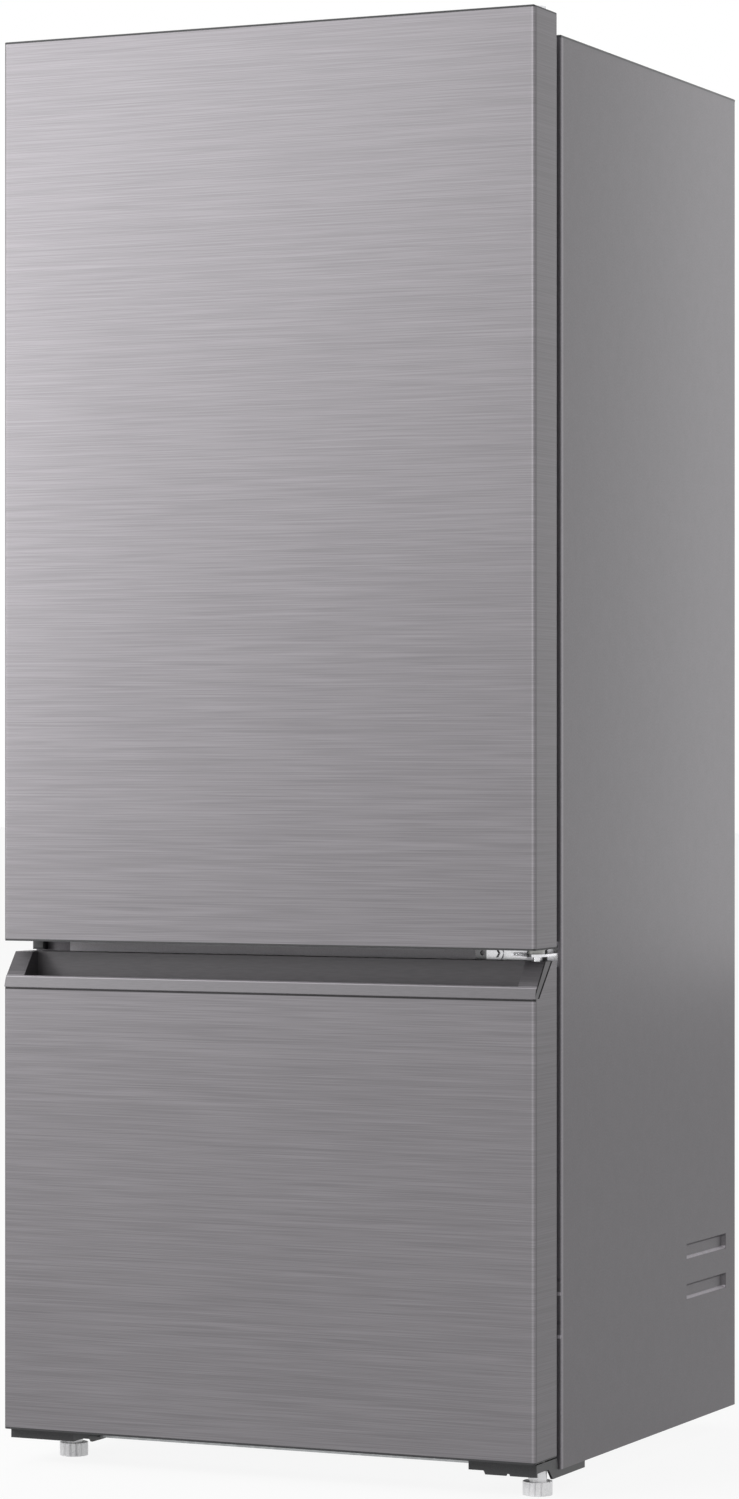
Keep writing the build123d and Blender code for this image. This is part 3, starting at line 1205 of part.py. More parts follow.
# ---------------------------------------------------------------- doors
CAP_LIP = 2.4  # what shows of an end cap, beyond the steel
CAP_PLUG = 20.0  # inside the steel
CAP_CORNER = 2.0
DOOR_LINER = 2.0
FRONT_CORNER = 3.0
GRIP_CHANNEL_INSET = 100.0  # from the door's sides
GRIP_CHANNEL_FRONT = 14.0
GRIP_CHANNEL_WIDTH = 24.0
GRIP_CHANNEL_DEPTH = 12.0
GASKET_WIDTH = 22.0
GASKET_SIDE_INSET = 28.0
GASKET_NECK = 12.0
GASKET_HEAD = 18.0
GASKET_HEAD_DEPTH = 4.0
GASKET_FOOT_DEPTH = 3.0
FRIDGE_RIDGE_MARGIN = 13.0  # from the liner's mouth to the door's ridge
FREEZER_RIDGE_MARGIN = 16.0
FRIDGE_RIDGE_BAND = 40.0
FREEZER_RIDGE_BAND = 24.0
FRIDGE_RIDGE_DEPTH = 56.0
FREEZER_RIDGE_DEPTH = 26.0
RIDGE_DRAFT = 4.0  # degrees
BUSH_COLLAR = 3.0  # wider than the tube, as a radius

DOOR_SKIN_HALF = HALF_WIDTH - SHEET
FOAM_BACK = DOOR_BACK - DOOR_LINER
BUSH_BORE = HINGE_PIN_RADIUS + PIN_CLEARANCE
BUSH_RADIUS = BUSH_BORE + BUSH_WALL
BUSH_HOLE = BUSH_RADIUS + PIN_CLEARANCE


def hinge_hole(radius, low, top):
    """Cut a round hole on the hinge line."""
    with BuildSketch(Plane.XY.offset(low)) as section:
        with Locations((HINGE_X, HINGE_Y)):
            Circle(radius)
    extrude(section.sketch, amount=top - low, mode=Mode.SUBTRACT)


def door_panel(low, top):
    """A door's steel face: one sheet folded back along both sides, with rounded front corners."""
    with BuildSketch(Plane.XY.offset(low)) as section:
        Polygon(
            (-HALF_WIDTH, DOOR_BACK),
            (-HALF_WIDTH, FRONT),
            (HALF_WIDTH, FRONT),
            (HALF_WIDTH, DOOR_BACK),
            (DOOR_SKIN_HALF, DOOR_BACK),
            (DOOR_SKIN_HALF, FRONT + SHEET),
            (-DOOR_SKIN_HALF, FRONT + SHEET),
            (-DOOR_SKIN_HALF, DOOR_BACK),
            align=None,
        )
        corners = section.vertices().group_by(Axis.Y)
        fillet(corners[0], FRONT_CORNER)
        fillet(
            section.vertices().filter_by(lambda v: abs(v.Y - FRONT - SHEET) < SHEET / 10),
            FRONT_CORNER - SHEET,
        )
    extrude(section.sketch, amount=top - low)


def end_cap(face, lip_out, plug_in):
    """A door's end cap: a thin lip over the steel's end and a plug inside it."""
    with BuildSketch(Plane.XY.offset(face)) as lip:
        with Locations((0, (FRONT + DOOR_BACK) / 2)):
            Rectangle(WIDTH, DOOR_DEPTH)
        fillet(lip.vertices().group_by(Axis.Y)[0], FRONT_CORNER)
    extrude(lip.sketch, amount=lip_out)
    with BuildSketch(front_plane(DOOR_BACK)) as front_view:
        with Locations((0, face + lip_out / 2)):
            Rectangle(WIDTH, CAP_LIP)
        outer_corners = front_view.vertices().group_by(Axis.Y)[-1 if lip_out > 0 else 0]
        fillet(outer_corners, CAP_CORNER)
    extrude(front_view.sketch, amount=DOOR_DEPTH, mode=Mode.INTERSECT)
    with BuildSketch(Plane.XY.offset(face)) as plug:
        with Locations((0, (FRONT + SHEET + FOAM_BACK) / 2)):
            Rectangle(2 * DOOR_SKIN_HALF, FOAM_BACK - FRONT - SHEET)
        fillet(plug.vertices().group_by(Axis.Y)[0], FRONT_CORNER - SHEET)
    extrude(plug.sketch, amount=plug_in)


def frame_sketch(y, half, low, top, band, radius):
    """An upright rectangular ring that faces the doors' back, as a sketch at depth y."""
    with BuildSketch(front_plane(y)) as ring:
        with Locations((0, (low + top) / 2)):
            RectangleRounded(2 * half, top - low, radius)
            RectangleRounded(2 * (half - band), top - low - 2 * band, radius / 2, mode=Mode.SUBTRACT)
    return ring.sketch


def ridge(start, half, low, top, band, depth, mode=Mode.ADD):
    """The raised frame on a door's inner side, narrower towards the cabinet."""
    extrude(
        frame_sketch(start, half, low, top, band, band / 3),
        amount=-depth,
        taper=RIDGE_DRAFT,
        mode=mode,
    )


def ridge_core(half, low, top, band, depth, mode=Mode.ADD):
    """The foam inside the ridge: the same frame, one liner wall smaller all round."""
    ridge(
        FOAM_BACK,
        half - DOOR_LINER,
        low + DOOR_LINER,
        top - DOOR_LINER,
        band - 2 * DOOR_LINER,
        depth,
        mode,
    )


def gasket(half, low, top, name):
    """A door's magnetic gasket: foot on the liner, narrow bellows, wide head on the cabinet."""
    head_face = CABINET_FRONT - SKIN_GAP
    sections = (
        (DOOR_BACK, GASKET_FOOT_DEPTH, GASKET_WIDTH),
        (DOOR_BACK + GASKET_FOOT_DEPTH, head_face - DOOR_BACK - GASKET_FOOT_DEPTH, GASKET_NECK),
        (head_face - GASKET_HEAD_DEPTH, GASKET_HEAD_DEPTH, GASKET_HEAD),
    )
    with BuildPart() as seal:
        for start, depth, width in sections:
            inset = (GASKET_WIDTH - width) / 2
            extrude(
                frame_sketch(start, half - inset, low + inset, top - inset, width, width / 2),
                amount=-depth,
            )
    save(seal, name)


def bush(low, collar_top, top):
    """A hinge bush: a tube round the pin, with a collar below the door where it carries weight."""
    with BuildSketch(Plane.XY.offset(low)) as tube:
        with Locations((HINGE_X, HINGE_Y)):
            Circle(BUSH_RADIUS)
            Circle(BUSH_BORE, mode=Mode.SUBTRACT)
    extrude(tube.sketch, amount=top - low)
    if collar_top > low:
        with BuildSketch(Plane.XY.offset(low)) as collar:
            with Locations((HINGE_X, HINGE_Y)):
                Circle(BUSH_RADIUS + BUSH_COLLAR)
                Circle(BUSH_BORE, mode=Mode.SUBTRACT)
        extrude(collar.sketch, amount=collar_top - low)


GASKET_HALF = HALF_WIDTH - GASKET_SIDE_INSET

# ---- fridge door
FRIDGE_STEEL = (FRIDGE_DOOR_LOW + CAP_LIP, FRIDGE_DOOR_TOP - CAP_LIP)
FRIDGE_PLUGS = (FRIDGE_STEEL[0] + CAP_PLUG, FRIDGE_STEEL[1] - CAP_PLUG)
FRIDGE_RIDGE_HALF = FRIDGE_INNER_HALF - FRIDGE_RIDGE_MARGIN
FRIDGE_RIDGE = (FRIDGE_FLOOR + FRIDGE_RIDGE_MARGIN, FRIDGE_CEILING - FRIDGE_RIDGE_MARGIN)

with BuildPart() as fridge_door_panel:
    door_panel(*FRIDGE_STEEL)
save(fridge_door_panel, "fridge_door_panel")

with BuildPart() as fridge_door_top_cap:
    end_cap(FRIDGE_STEEL[1], CAP_LIP, -CAP_PLUG)
    hinge_hole(BUSH_HOLE, FRIDGE_PLUGS[1], FRIDGE_DOOR_TOP)
save(fridge_door_top_cap, "fridge_door_top_cap")

with BuildPart() as fridge_door_bottom_cap:
    end_cap(FRIDGE_STEEL[0], -CAP_LIP, CAP_PLUG)
    hinge_hole(BUSH_HOLE, FRIDGE_DOOR_LOW, FRIDGE_PLUGS[0])
    # finger channel under the door, reached through the freezer door's pocket
    with BuildSketch(Plane.XY.offset(FRIDGE_DOOR_LOW)):
        with Locations((0, FRONT + GRIP_CHANNEL_FRONT + GRIP_CHANNEL_WIDTH / 2)):
            RectangleRounded(
                WIDTH - 2 * GRIP_CHANNEL_INSET, GRIP_CHANNEL_WIDTH, GRIP_CHANNEL_WIDTH / 3
            )
    extrude(amount=GRIP_CHANNEL_DEPTH, mode=Mode.SUBTRACT)
save(fridge_door_bottom_cap, "fridge_door_bottom_cap")

with BuildPart() as fridge_door_bushes:
    bush(ARM_TOP, FRIDGE_DOOR_LOW, FRIDGE_PLUGS[0])
    bush(FRIDGE_PLUGS[1], FRIDGE_PLUGS[1], FRIDGE_DOOR_TOP)
save(fridge_door_bushes, "fridge_door_bushes")

gasket(GASKET_HALF, FRIDGE_FLOOR - GASKET_WIDTH, FRIDGE_CEILING + GASKET_WIDTH, "fridge_door_gasket")

FRIDGE_RIDGE_FORM = (FRIDGE_RIDGE_HALF, *FRIDGE_RIDGE, FRIDGE_RIDGE_BAND, FRIDGE_RIDGE_DEPTH)
FRIDGE_RIDGE_INNER = FRIDGE_RIDGE_HALF - FRIDGE_RIDGE_BAND

# bins hang by their end lips on lugs inside the ridge
BIN_SIDE_GAP = 7.0  # from the ridge to the bin's end wall
BIN_LIP = 6.5
BIN_LIP_HEIGHT = 3.0
BIN_DEPTH = 84.0
BIN_WALL = 2.5
BIN_CORNER = 18.0
BIN_BACK_GAP = 0.5
LUG_LENGTH = 30.0
LUG_HEIGHT = 9.0
LUG_REACH = 4.0
LOW_BIN_LIFT = 232.0  # its rim, above the fridge floor
TOP_BIN_DROP = 175.0  # its rim, below the fridge's ceiling
MIDDLE_BIN_SHARE = 0.565  # of the way from the lowest rim to the top one
BIN_HEIGHTS = (120.0, 90.0, 80.0)
BIN_SLOT_HEIGHT = 16.0
BIN_SLOT_DROP = 22.0
BIN_SLOT_MARGIN = 40.0
LID_SHEET = 2.5
LID_BOSS_RADIUS = 5.0
LID_PIN_RADIUS = 3.0
LID_PIN_REACH = 7.0
LID_PIVOT_BACK = 14.0  # from the door's inner face
LID_SIDE_GAP = 1.5

BIN_HALF = FRIDGE_RIDGE_INNER - BIN_SIDE_GAP
BIN_Y = DOOR_BACK + BIN_BACK_GAP
LID_HALF = FRIDGE_RIDGE_INNER - LID_SIDE_GAP
LOW_RIM = FRIDGE_FLOOR + LOW_BIN_LIFT
LID_RIM = FRIDGE_CEILING - TOP_BIN_DROP
BIN_RIMS = (LOW_RIM, LOW_RIM + MIDDLE_BIN_SHARE * (LID_RIM - LOW_RIM), LID_RIM)
LID_PIVOT_Y = DOOR_BACK + LID_PIVOT_BACK
LID_PIVOT_Z = LID_RIM + LID_BOSS_RADIUS + SKIN_GAP

with BuildPart() as fridge_door_liner:
    block((-DOOR_SKIN_HALF, DOOR_SKIN_HALF), (FOAM_BACK, DOOR_BACK), FRIDGE_STEEL)
    ridge(DOOR_BACK, *FRIDGE_RIDGE_FORM)
    for rim in BIN_RIMS:
        for lug_side in (-1, 1):
            lug_middle = lug_side * FRIDGE_RIDGE_INNER
            block(
                (lug_middle - LUG_REACH, lug_middle + LUG_REACH),
                (BIN_Y + LUG_LENGTH / 2, BIN_Y + 1.5 * LUG_LENGTH),
                (rim - BIN_LIP_HEIGHT - LUG_HEIGHT, rim - BIN_LIP_HEIGHT),
            )
    ridge_core(*FRIDGE_RIDGE_FORM, Mode.SUBTRACT)
    with BuildSketch(side_plane(0)):
        with Locations((LID_PIVOT_Y, LID_PIVOT_Z)):
            Circle(LID_PIN_RADIUS + PIN_CLEARANCE)
    extrude(amount=LID_HALF + LID_PIN_REACH + FIT_GAP, both=True, mode=Mode.SUBTRACT)
save(fridge_door_liner, "fridge_door_liner")

with BuildPart() as fridge_door_foam:
    block((-DOOR_SKIN_HALF, DOOR_SKIN_HALF), (FRONT + SHEET, FOAM_BACK), FRIDGE_PLUGS)
    fillet(
        fridge_door_foam.edges().filter_by(Axis.Z).group_by(Axis.Y)[0],
        FRONT_CORNER - SHEET,
    )
    ridge_core(*FRIDGE_RIDGE_FORM)
    with BuildSketch(side_plane(0)):
        with Locations((LID_PIVOT_Y, LID_PIVOT_Z)):
            Circle(LID_PIN_RADIUS + FIT_GAP)
    extrude(amount=LID_HALF + LID_PIN_REACH + FIT_GAP, both=True, mode=Mode.SUBTRACT)
save(fridge_door_foam, "fridge_door_foam")


def door_bin(rim, height, name):
    """A moulded bin: rounded towards the cabinet, slotted as a guard rail, with a lip at each end."""
    middle = (0, BIN_Y + BIN_DEPTH / 2)
    with BuildPart() as tub:
        with BuildSketch(Plane.XY.offset(rim - height)) as outline:
            with Locations(middle):
                Rectangle(2 * BIN_HALF, BIN_DEPTH)
            fillet(outline.vertices().group_by(Axis.Y)[-1], BIN_CORNER)
        extrude(amount=height)
        with BuildSketch(Plane.XY.offset(rim - height + BIN_WALL)) as inside:
            with Locations(middle):
                Rectangle(2 * BIN_HALF - 2 * BIN_WALL, BIN_DEPTH - 2 * BIN_WALL)
            fillet(inside.vertices().group_by(Axis.Y)[-1], BIN_CORNER - BIN_WALL)
        extrude(amount=height, mode=Mode.SUBTRACT)
        with BuildSketch(front_plane(BIN_Y + BIN_DEPTH)):
            with Locations((0, rim - BIN_SLOT_DROP)):
                SlotOverall(2 * BIN_HALF - 2 * BIN_SLOT_MARGIN, BIN_SLOT_HEIGHT)
        extrude(amount=2 * BIN_WALL, mode=Mode.SUBTRACT)
        for side in (-1, 1):
            block(
                sorted((side * (BIN_HALF - BIN_WALL), side * (BIN_HALF + BIN_LIP))),
                (BIN_Y + LUG_LENGTH / 2, BIN_Y + 1.5 * LUG_LENGTH),
                (rim - BIN_LIP_HEIGHT, rim),
            )
    save(tub, name)


for bin_rim, bin_height, bin_name in zip(
    BIN_RIMS, BIN_HEIGHTS, ("door_bin_bottom", "door_bin_middle", "door_bin_top")
):
    door_bin(bin_rim, bin_height, bin_name)

# the lid over the top bin tips up on its end pins
with BuildPart() as dairy_lid:
    with BuildSketch(side_plane(-LID_HALF)):
        with BuildLine():
            Polyline(
                (LID_PIVOT_Y, LID_PIVOT_Z - LID_BOSS_RADIUS),
                (BIN_Y + BIN_DEPTH, LID_PIVOT_Z - LID_BOSS_RADIUS),
                (BIN_Y + BIN_DEPTH, LID_PIVOT_Z - LID_BOSS_RADIUS + LID_SHEET),
                (LID_PIVOT_Y, LID_PIVOT_Z - LID_BOSS_RADIUS + LID_SHEET),
                close=True,
            )
        make_face()
        with Locations((LID_PIVOT_Y, LID_PIVOT_Z)):
            Circle(LID_BOSS_RADIUS)
    extrude(amount=2 * LID_HALF)
    with BuildSketch(side_plane(0)):
        with Locations((LID_PIVOT_Y, LID_PIVOT_Z)):
            Circle(LID_PIN_RADIUS)
    extrude(amount=LID_HALF + LID_PIN_REACH, both=True)
save(dairy_lid, "dairy_lid")

# ---- freezer door
HANDLE_DROP = 42.0  # from the door's top down to the steel's upper edge
HANDLE_SEAM = 0.8
LIP_DROP = 28.0
LIP_SET = 5.0  # all these depths are behind the door's front
LIP_WALL = 4.0
LIP_BEVEL = 1.2
END_TOP_SET = 29.0
SPLIT_LOW_SET = 12.0
SPLIT_TOP_SET = 52.0
END_BLOCK = 24.0
END_BODY = 28.0
POCKET_BACK_SET = 41.0
POCKET_DROP = 72.0
POCKET_RADIUS = 8.0
POCKET_WALL = 3.0
TOP_PLATE = 4.0

FREEZER_STEEL_LOW = FREEZER_DOOR_LOW + CAP_LIP
FREEZER_PLUG = FREEZER_STEEL_LOW + CAP_PLUG
HANDLE_LOW = FREEZER_DOOR_TOP - HANDLE_DROP
LIP_TOP = FREEZER_DOOR_TOP - LIP_DROP
POCKET_FLOOR = FREEZER_DOOR_TOP - POCKET_DROP
POCKET_BACK = FRONT + POCKET_BACK_SET
BODY_LOW = POCKET_FLOOR - POCKET_WALL
BODY_BACK = POCKET_BACK + POCKET_WALL
END_BODY_BACK = FRONT + SPLIT_TOP_SET
PLATE_LOW = FREEZER_DOOR_TOP - TOP_PLATE
POCKET_HALF = HALF_WIDTH - END_BLOCK
FREEZER_RIDGE_HALF = FREEZER_INNER_HALF - FREEZER_RIDGE_MARGIN
FREEZER_RIDGE_FORM = (
    FREEZER_RIDGE_HALF,
    FREEZER_FLOOR + FREEZER_RIDGE_MARGIN,
    FREEZER_CEILING - FREEZER_RIDGE_MARGIN,
    FREEZER_RIDGE_BAND,
    FREEZER_RIDGE_DEPTH,
)

with BuildPart() as freezer_door_panel:
    door_panel(FREEZER_STEEL_LOW, FREEZER_DOOR_TOP)
    # the steel stops below the lip in front, and along the slanted split at both sides
    prism(
        side_plane(-HALF_WIDTH),
        [
            (FRONT - SHEET, HANDLE_LOW - HANDLE_SEAM),
            (FRONT + SHEET, HANDLE_LOW - HANDLE_SEAM),
            (FRONT + SHEET, HANDLE_LOW),
            (FRONT + SPLIT_LOW_SET + HANDLE_SEAM, HANDLE_LOW),
            (FRONT + SPLIT_TOP_SET + HANDLE_SEAM, FREEZER_DOOR_TOP),
            (FRONT - SHEET, FREEZER_DOOR_TOP),
        ],
        WIDTH,
        Mode.SUBTRACT,
    )
save(freezer_door_panel, "freezer_door_panel")

# The pocket handle is one moulding across the whole door: a lip that slopes back, a deep finger
# pocket behind it, and a slanted block at each end that closes the pocket and meets the steel.
with BuildPart() as freezer_door_handle:
    prism(
        side_plane(-DOOR_SKIN_HALF),
        [
            (FRONT + SHEET, BODY_LOW),
            (FRONT + SHEET, HANDLE_LOW),
            (FRONT + SPLIT_LOW_SET, HANDLE_LOW),
            (FRONT + SPLIT_TOP_SET, FREEZER_DOOR_TOP),
            (FOAM_BACK, FREEZER_DOOR_TOP),
            (FOAM_BACK, PLATE_LOW),
            (END_BODY_BACK, PLATE_LOW),
            (END_BODY_BACK, BODY_LOW),
        ],
        2 * DOOR_SKIN_HALF,
    )
    # the wall behind the steel stays clear of the steel's rounded corners
    for corner_low in (-HALF_WIDTH, HALF_WIDTH - FRONT_CORNER):
        block(
            (corner_low, corner_low + FRONT_CORNER),
            (FRONT, FRONT + FRONT_CORNER),
            (BODY_LOW - SHEET, HANDLE_LOW),
            Mode.SUBTRACT,
        )
    prism(
        side_plane(-HALF_WIDTH),
        [
            (FRONT, HANDLE_LOW),
            (FRONT + LIP_SET * (1 - LIP_BEVEL / (LIP_TOP - HANDLE_LOW)), LIP_TOP - LIP_BEVEL),
            (FRONT + LIP_SET + LIP_BEVEL, LIP_TOP),
            (FRONT + END_TOP_SET, FREEZER_DOOR_TOP),
            (FRONT + SPLIT_TOP_SET, FREEZER_DOOR_TOP),
            (FRONT + SPLIT_LOW_SET, HANDLE_LOW),
        ],
        WIDTH,
    )
    # between its ends the body is one wall deeper than the pocket
    block(
        (END_BODY - DOOR_SKIN_HALF, DOOR_SKIN_HALF - END_BODY),
        (BODY_BACK, END_BODY_BACK + SHEET),
        (BODY_LOW - SHEET, PLATE_LOW),
        Mode.SUBTRACT,
    )
    with BuildSketch(side_plane(-POCKET_HALF)):
        with BuildLine() as pocket:
            FilletPolyline(
                (FRONT + LIP_SET + LIP_WALL, LIP_TOP),
                (FRONT + LIP_SET + LIP_WALL, POCKET_FLOOR),
                (POCKET_BACK, POCKET_FLOOR),
                (POCKET_BACK, FREEZER_DOOR_TOP),
                radius=POCKET_RADIUS,
            )
            Polyline(
                pocket.line @ 1,
                (FRONT - SHEET, FREEZER_DOOR_TOP),
                (FRONT - SHEET, LIP_TOP),
                pocket.line @ 0,
            )
        make_face()
    extrude(amount=2 * POCKET_HALF, mode=Mode.SUBTRACT)
    hinge_hole(BUSH_HOLE, FREEZER_DOOR_TOP - CAP_PLUG, FREEZER_DOOR_TOP)
save(freezer_door_handle, "freezer_door_handle")

with BuildPart() as freezer_door_bottom_cap:
    end_cap(FREEZER_STEEL_LOW, -CAP_LIP, CAP_PLUG)
    hinge_hole(BUSH_HOLE, FREEZER_DOOR_LOW, FREEZER_PLUG)
save(freezer_door_bottom_cap, "freezer_door_bottom_cap")

with BuildPart() as freezer_door_bushes:
    bush(BRACKET_TOP, FREEZER_DOOR_LOW, FREEZER_PLUG)
    bush(FREEZER_DOOR_TOP - CAP_PLUG, FREEZER_DOOR_TOP - CAP_PLUG, FREEZER_DOOR_TOP)
save(freezer_door_bushes, "freezer_door_bushes")

with BuildPart() as freezer_door_liner:
    block(
        (-DOOR_SKIN_HALF, DOOR_SKIN_HALF),
        (FOAM_BACK, DOOR_BACK),
        (FREEZER_STEEL_LOW, FREEZER_DOOR_TOP),
    )
    ridge(DOOR_BACK, *FREEZER_RIDGE_FORM)
    ridge_core(*FREEZER_RIDGE_FORM, Mode.SUBTRACT)
save(freezer_door_liner, "freezer_door_liner")

with BuildPart() as freezer_door_foam:
    prism(
        side_plane(-DOOR_SKIN_HALF),
        [
            (FRONT + SHEET, FREEZER_PLUG),
            (FRONT + SHEET, BODY_LOW),
            (BODY_BACK, BODY_LOW),
            (BODY_BACK, PLATE_LOW),
            (FOAM_BACK, PLATE_LOW),
            (FOAM_BACK, FREEZER_PLUG),
        ],
        2 * DOOR_SKIN_HALF,
    )
    fillet(
        freezer_door_foam.edges().filter_by(Axis.Z).group_by(Axis.Y)[0],
        FRONT_CORNER - SHEET,
    )
    for end_low in (-DOOR_SKIN_HALF, DOOR_SKIN_HALF - END_BODY):
        block(
            (end_low, end_low + END_BODY),
            (BODY_BACK, END_BODY_BACK),
            (BODY_LOW, PLATE_LOW),
            Mode.SUBTRACT,
        )
    ridge_core(*FREEZER_RIDGE_FORM)
save(freezer_door_foam, "freezer_door_foam")

gasket(GASKET_HALF, FREEZER_FLOOR - GASKET_WIDTH, FREEZER_CEILING + GASKET_WIDTH, "freezer_door_gasket")
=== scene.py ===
"""Looks of the bottom freezer refrigerator: materials, camera, light and floor."""
import json
import math

import bmesh
import bpy
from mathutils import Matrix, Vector


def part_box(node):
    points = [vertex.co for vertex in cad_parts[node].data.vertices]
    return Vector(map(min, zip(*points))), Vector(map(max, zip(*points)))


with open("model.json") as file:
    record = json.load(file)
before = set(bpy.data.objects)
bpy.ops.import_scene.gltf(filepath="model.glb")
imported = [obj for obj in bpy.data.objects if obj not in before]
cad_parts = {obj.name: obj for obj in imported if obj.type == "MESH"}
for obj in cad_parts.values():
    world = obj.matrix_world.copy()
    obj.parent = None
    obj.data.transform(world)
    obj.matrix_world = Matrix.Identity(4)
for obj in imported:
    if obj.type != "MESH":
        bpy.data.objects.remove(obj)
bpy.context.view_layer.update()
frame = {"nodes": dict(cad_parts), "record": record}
NODES = frame["nodes"]
SLOT_OF = {p["node"]: p["material_slot"] for p in frame["record"]["subparts"]}

# ---- places that the looks refer to, in metres in the shared frame
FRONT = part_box("fridge_door_panel")[0][1]  # y of the doors' brushed face
FACE_TO = FRONT + 0.003  # y ahead of which the steel is that face
DOOR_FOLD_DARK_REFLECTION = (FRONT + 0.0045, 0.0013)  # y and half width of the painted dark reflection round the folds
FLANK_FROM = FRONT + 0.006  # y behind which the steel is the doors' flanks
RIGHT_FOLD_HIGHLIGHT = (0.3474, 0.0016)  # x and half width of the painted highlight along the right fold
LEFT_FOLD_DARK_REFLECTION = (-0.3490, 0.0012)  # and of the painted dark reflection along the left fold
DOOR_FLANK = 0.3497  # distance from the middle beyond which a point is on a door's flank
# the freezer door's handle, its points as y and z
LIP_EDGE = (FRONT + 0.0062, 0.595)  # its lip's upper edge
END_TOP = (FRONT + 0.029, 0.623)  # where its slanted ends meet the door's top
SPLIT_LOW = (FRONT + 0.012, 0.581)  # low and high ends of its slanted split from the steel
SPLIT_TOP = (FRONT + 0.052, 0.623)
LIP_TO = LIP_EDGE[0] + 0.003  # y ahead of which the handle is its lip
POCKET_FROM = LIP_EDGE[0] + 0.004  # y behind which it is the finger pocket
LIP_SHINE = (LIP_EDGE[1] - 0.0008, 0.0012)  # z and half width of the painted highlight on the lip's upper edge
SEAM_SHADE = (LIP_EDGE[1] - 0.0152, 0.0016)  # z and half width of the painted shade in the seam to the steel below
# the cabinet's sides, which are alike
SIDE_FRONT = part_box("side_panel_right")[0][1]  # y of their front edge
SIDE_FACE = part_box("side_panel_right")[1][0]  # distance from the middle to their face
SIDE_FOLD_HIGHLIGHT = (SIDE_FRONT + 0.0030, 0.0035)  # y and half width of the painted highlight along the fold
FOLD_SKIN = SIDE_FACE - 0.0006  # distance beyond which the paint is on their face
GRIP_BEVEL = (SIDE_FACE - 0.0030, 0.0022)  # distance and half width of the grips' bevels
GRIPS = (0.1895, 0.2400)  # middle heights of the two grip recesses
BEVEL_RISE = 0.00825  # from a grip's middle height to the middle of either bevel
BEVEL_HALF = 0.0020  # half a bevel's height
# the middle hinge
HINGE_END = 0.2562  # x where its darker left end stops
HINGE_GAP_SHADOW = (0.3304, 0.0034)  # x and half width of the painted shadow in the gap beside its pins


# ---- materials, all from nodes
def new_material(name):
    """A material with its node tree and its Principled shader."""
    made = bpy.data.materials.new(name)
    made.use_nodes = True
    tree = made.node_tree
    shader = tree.nodes["Principled BSDF"]
    return made, tree, shader


def add(tree, kind, **settings):
    """A new node with these properties set on it."""
    node = tree.nodes.new(kind)
    for key, value in settings.items():
        setattr(node, key, value)
    return node


def pattern(tree, kind, stretch, **inputs):
    """A procedural texture in the object's own metres, stretched along its axes."""
    place = add(tree, "ShaderNodeTexCoord")
    mapping = add(tree, "ShaderNodeMapping")
    mapping.inputs["Scale"].default_value = stretch
    tree.links.new(place.outputs["Object"], mapping.inputs["Vector"])
    texture = add(tree, kind)
    tree.links.new(mapping.outputs["Vector"], texture.inputs["Vector"])
    for key, value in inputs.items():
        texture.inputs[key].default_value = value
    return texture


def ramp(tree, source, low, high, start=0.3, end=0.7):
    """Turns a texture's value into a colour between low and high."""
    node = add(tree, "ShaderNodeValToRGB")
    node.color_ramp.elements[0].position = start
    node.color_ramp.elements[1].position = end
    node.color_ramp.elements[0].color = (*low, 1)
    node.color_ramp.elements[1].color = (*high, 1)
    tree.links.new(source, node.inputs["Fac"])
    return node.outputs["Color"]


def spread(tree, source, low, high):
    """Turns a texture's value into a number between low and high."""
    node = add(tree, "ShaderNodeMapRange")
    node.inputs["To Min"].default_value = low
    node.inputs["To Max"].default_value = high
    tree.links.new(source, node.inputs["Value"])
    return node.outputs["Result"]


def bump(tree, shader, source, depth, strength):
    """Fine relief in the shader's normal, from a texture's value."""
    node = add(tree, "ShaderNodeBump")
    node.inputs["Distance"].default_value = depth
    node.inputs["Strength"].default_value = strength
    tree.links.new(source, node.inputs["Height"])
    tree.links.new(node.outputs["Normal"], shader.inputs["Normal"])


def shade(colour, factor):
    """The colour times a factor, held at white."""
    return tuple(min(c * factor, 1.0) for c in colour)


def surface(tree, shader, tint, value, rough, rough_vary, metallic, depth, strength):
    """Links the colour, and the roughness and relief that follow one texture's value."""
    tree.links.new(tint, shader.inputs["Base Color"])
    rough_value = spread(tree, value, rough - rough_vary, rough + rough_vary)
    tree.links.new(rough_value, shader.inputs["Roughness"])
    shader.inputs["Metallic"].default_value = metallic
    bump(tree, shader, value, depth, strength)


def finish(
    name, colour, rough, metallic=0.0, scale=400.0, vary=0.06, depth=0.0001, strength=0.15,
    stretch=(1, 1, 1), rough_vary=0.06, kind="ShaderNodeTexNoise",
):
    """A plain finish with fine variation in its colour, roughness and relief."""
    made, tree, shader = new_material(name)
    texture = pattern(tree, kind, stretch, Scale=scale)
    value = texture.outputs[0]
    tint = ramp(tree, value, shade(colour, 1 - vary), shade(colour, 1 + vary))
    surface(tree, shader, tint, value, rough, rough_vary, metallic, depth, strength)
    return made


def axes_of(tree):
    """The object's own x, y and z, which for a CAD node are the shared frame's at rest."""
    place = add(tree, "ShaderNodeTexCoord")
    split = add(tree, "ShaderNodeSeparateXYZ")
    tree.links.new(place.outputs["Object"], split.inputs[0])
    return split.outputs


def maths(tree, operation, first, second=None):
    """One maths node; each input is a socket or a number."""
    node = add(tree, "ShaderNodeMath", operation=operation)
    for slot, value in enumerate((first, second)):
        if value is None:
            continue
        if isinstance(value, bpy.types.NodeSocket):
            tree.links.new(value, node.inputs[slot])
        else:
            node.inputs[slot].default_value = value
    return node.outputs[0]


def both(tree, first, second):
    """1 where both masks are 1."""
    return maths(tree, "MULTIPLY", first, second)


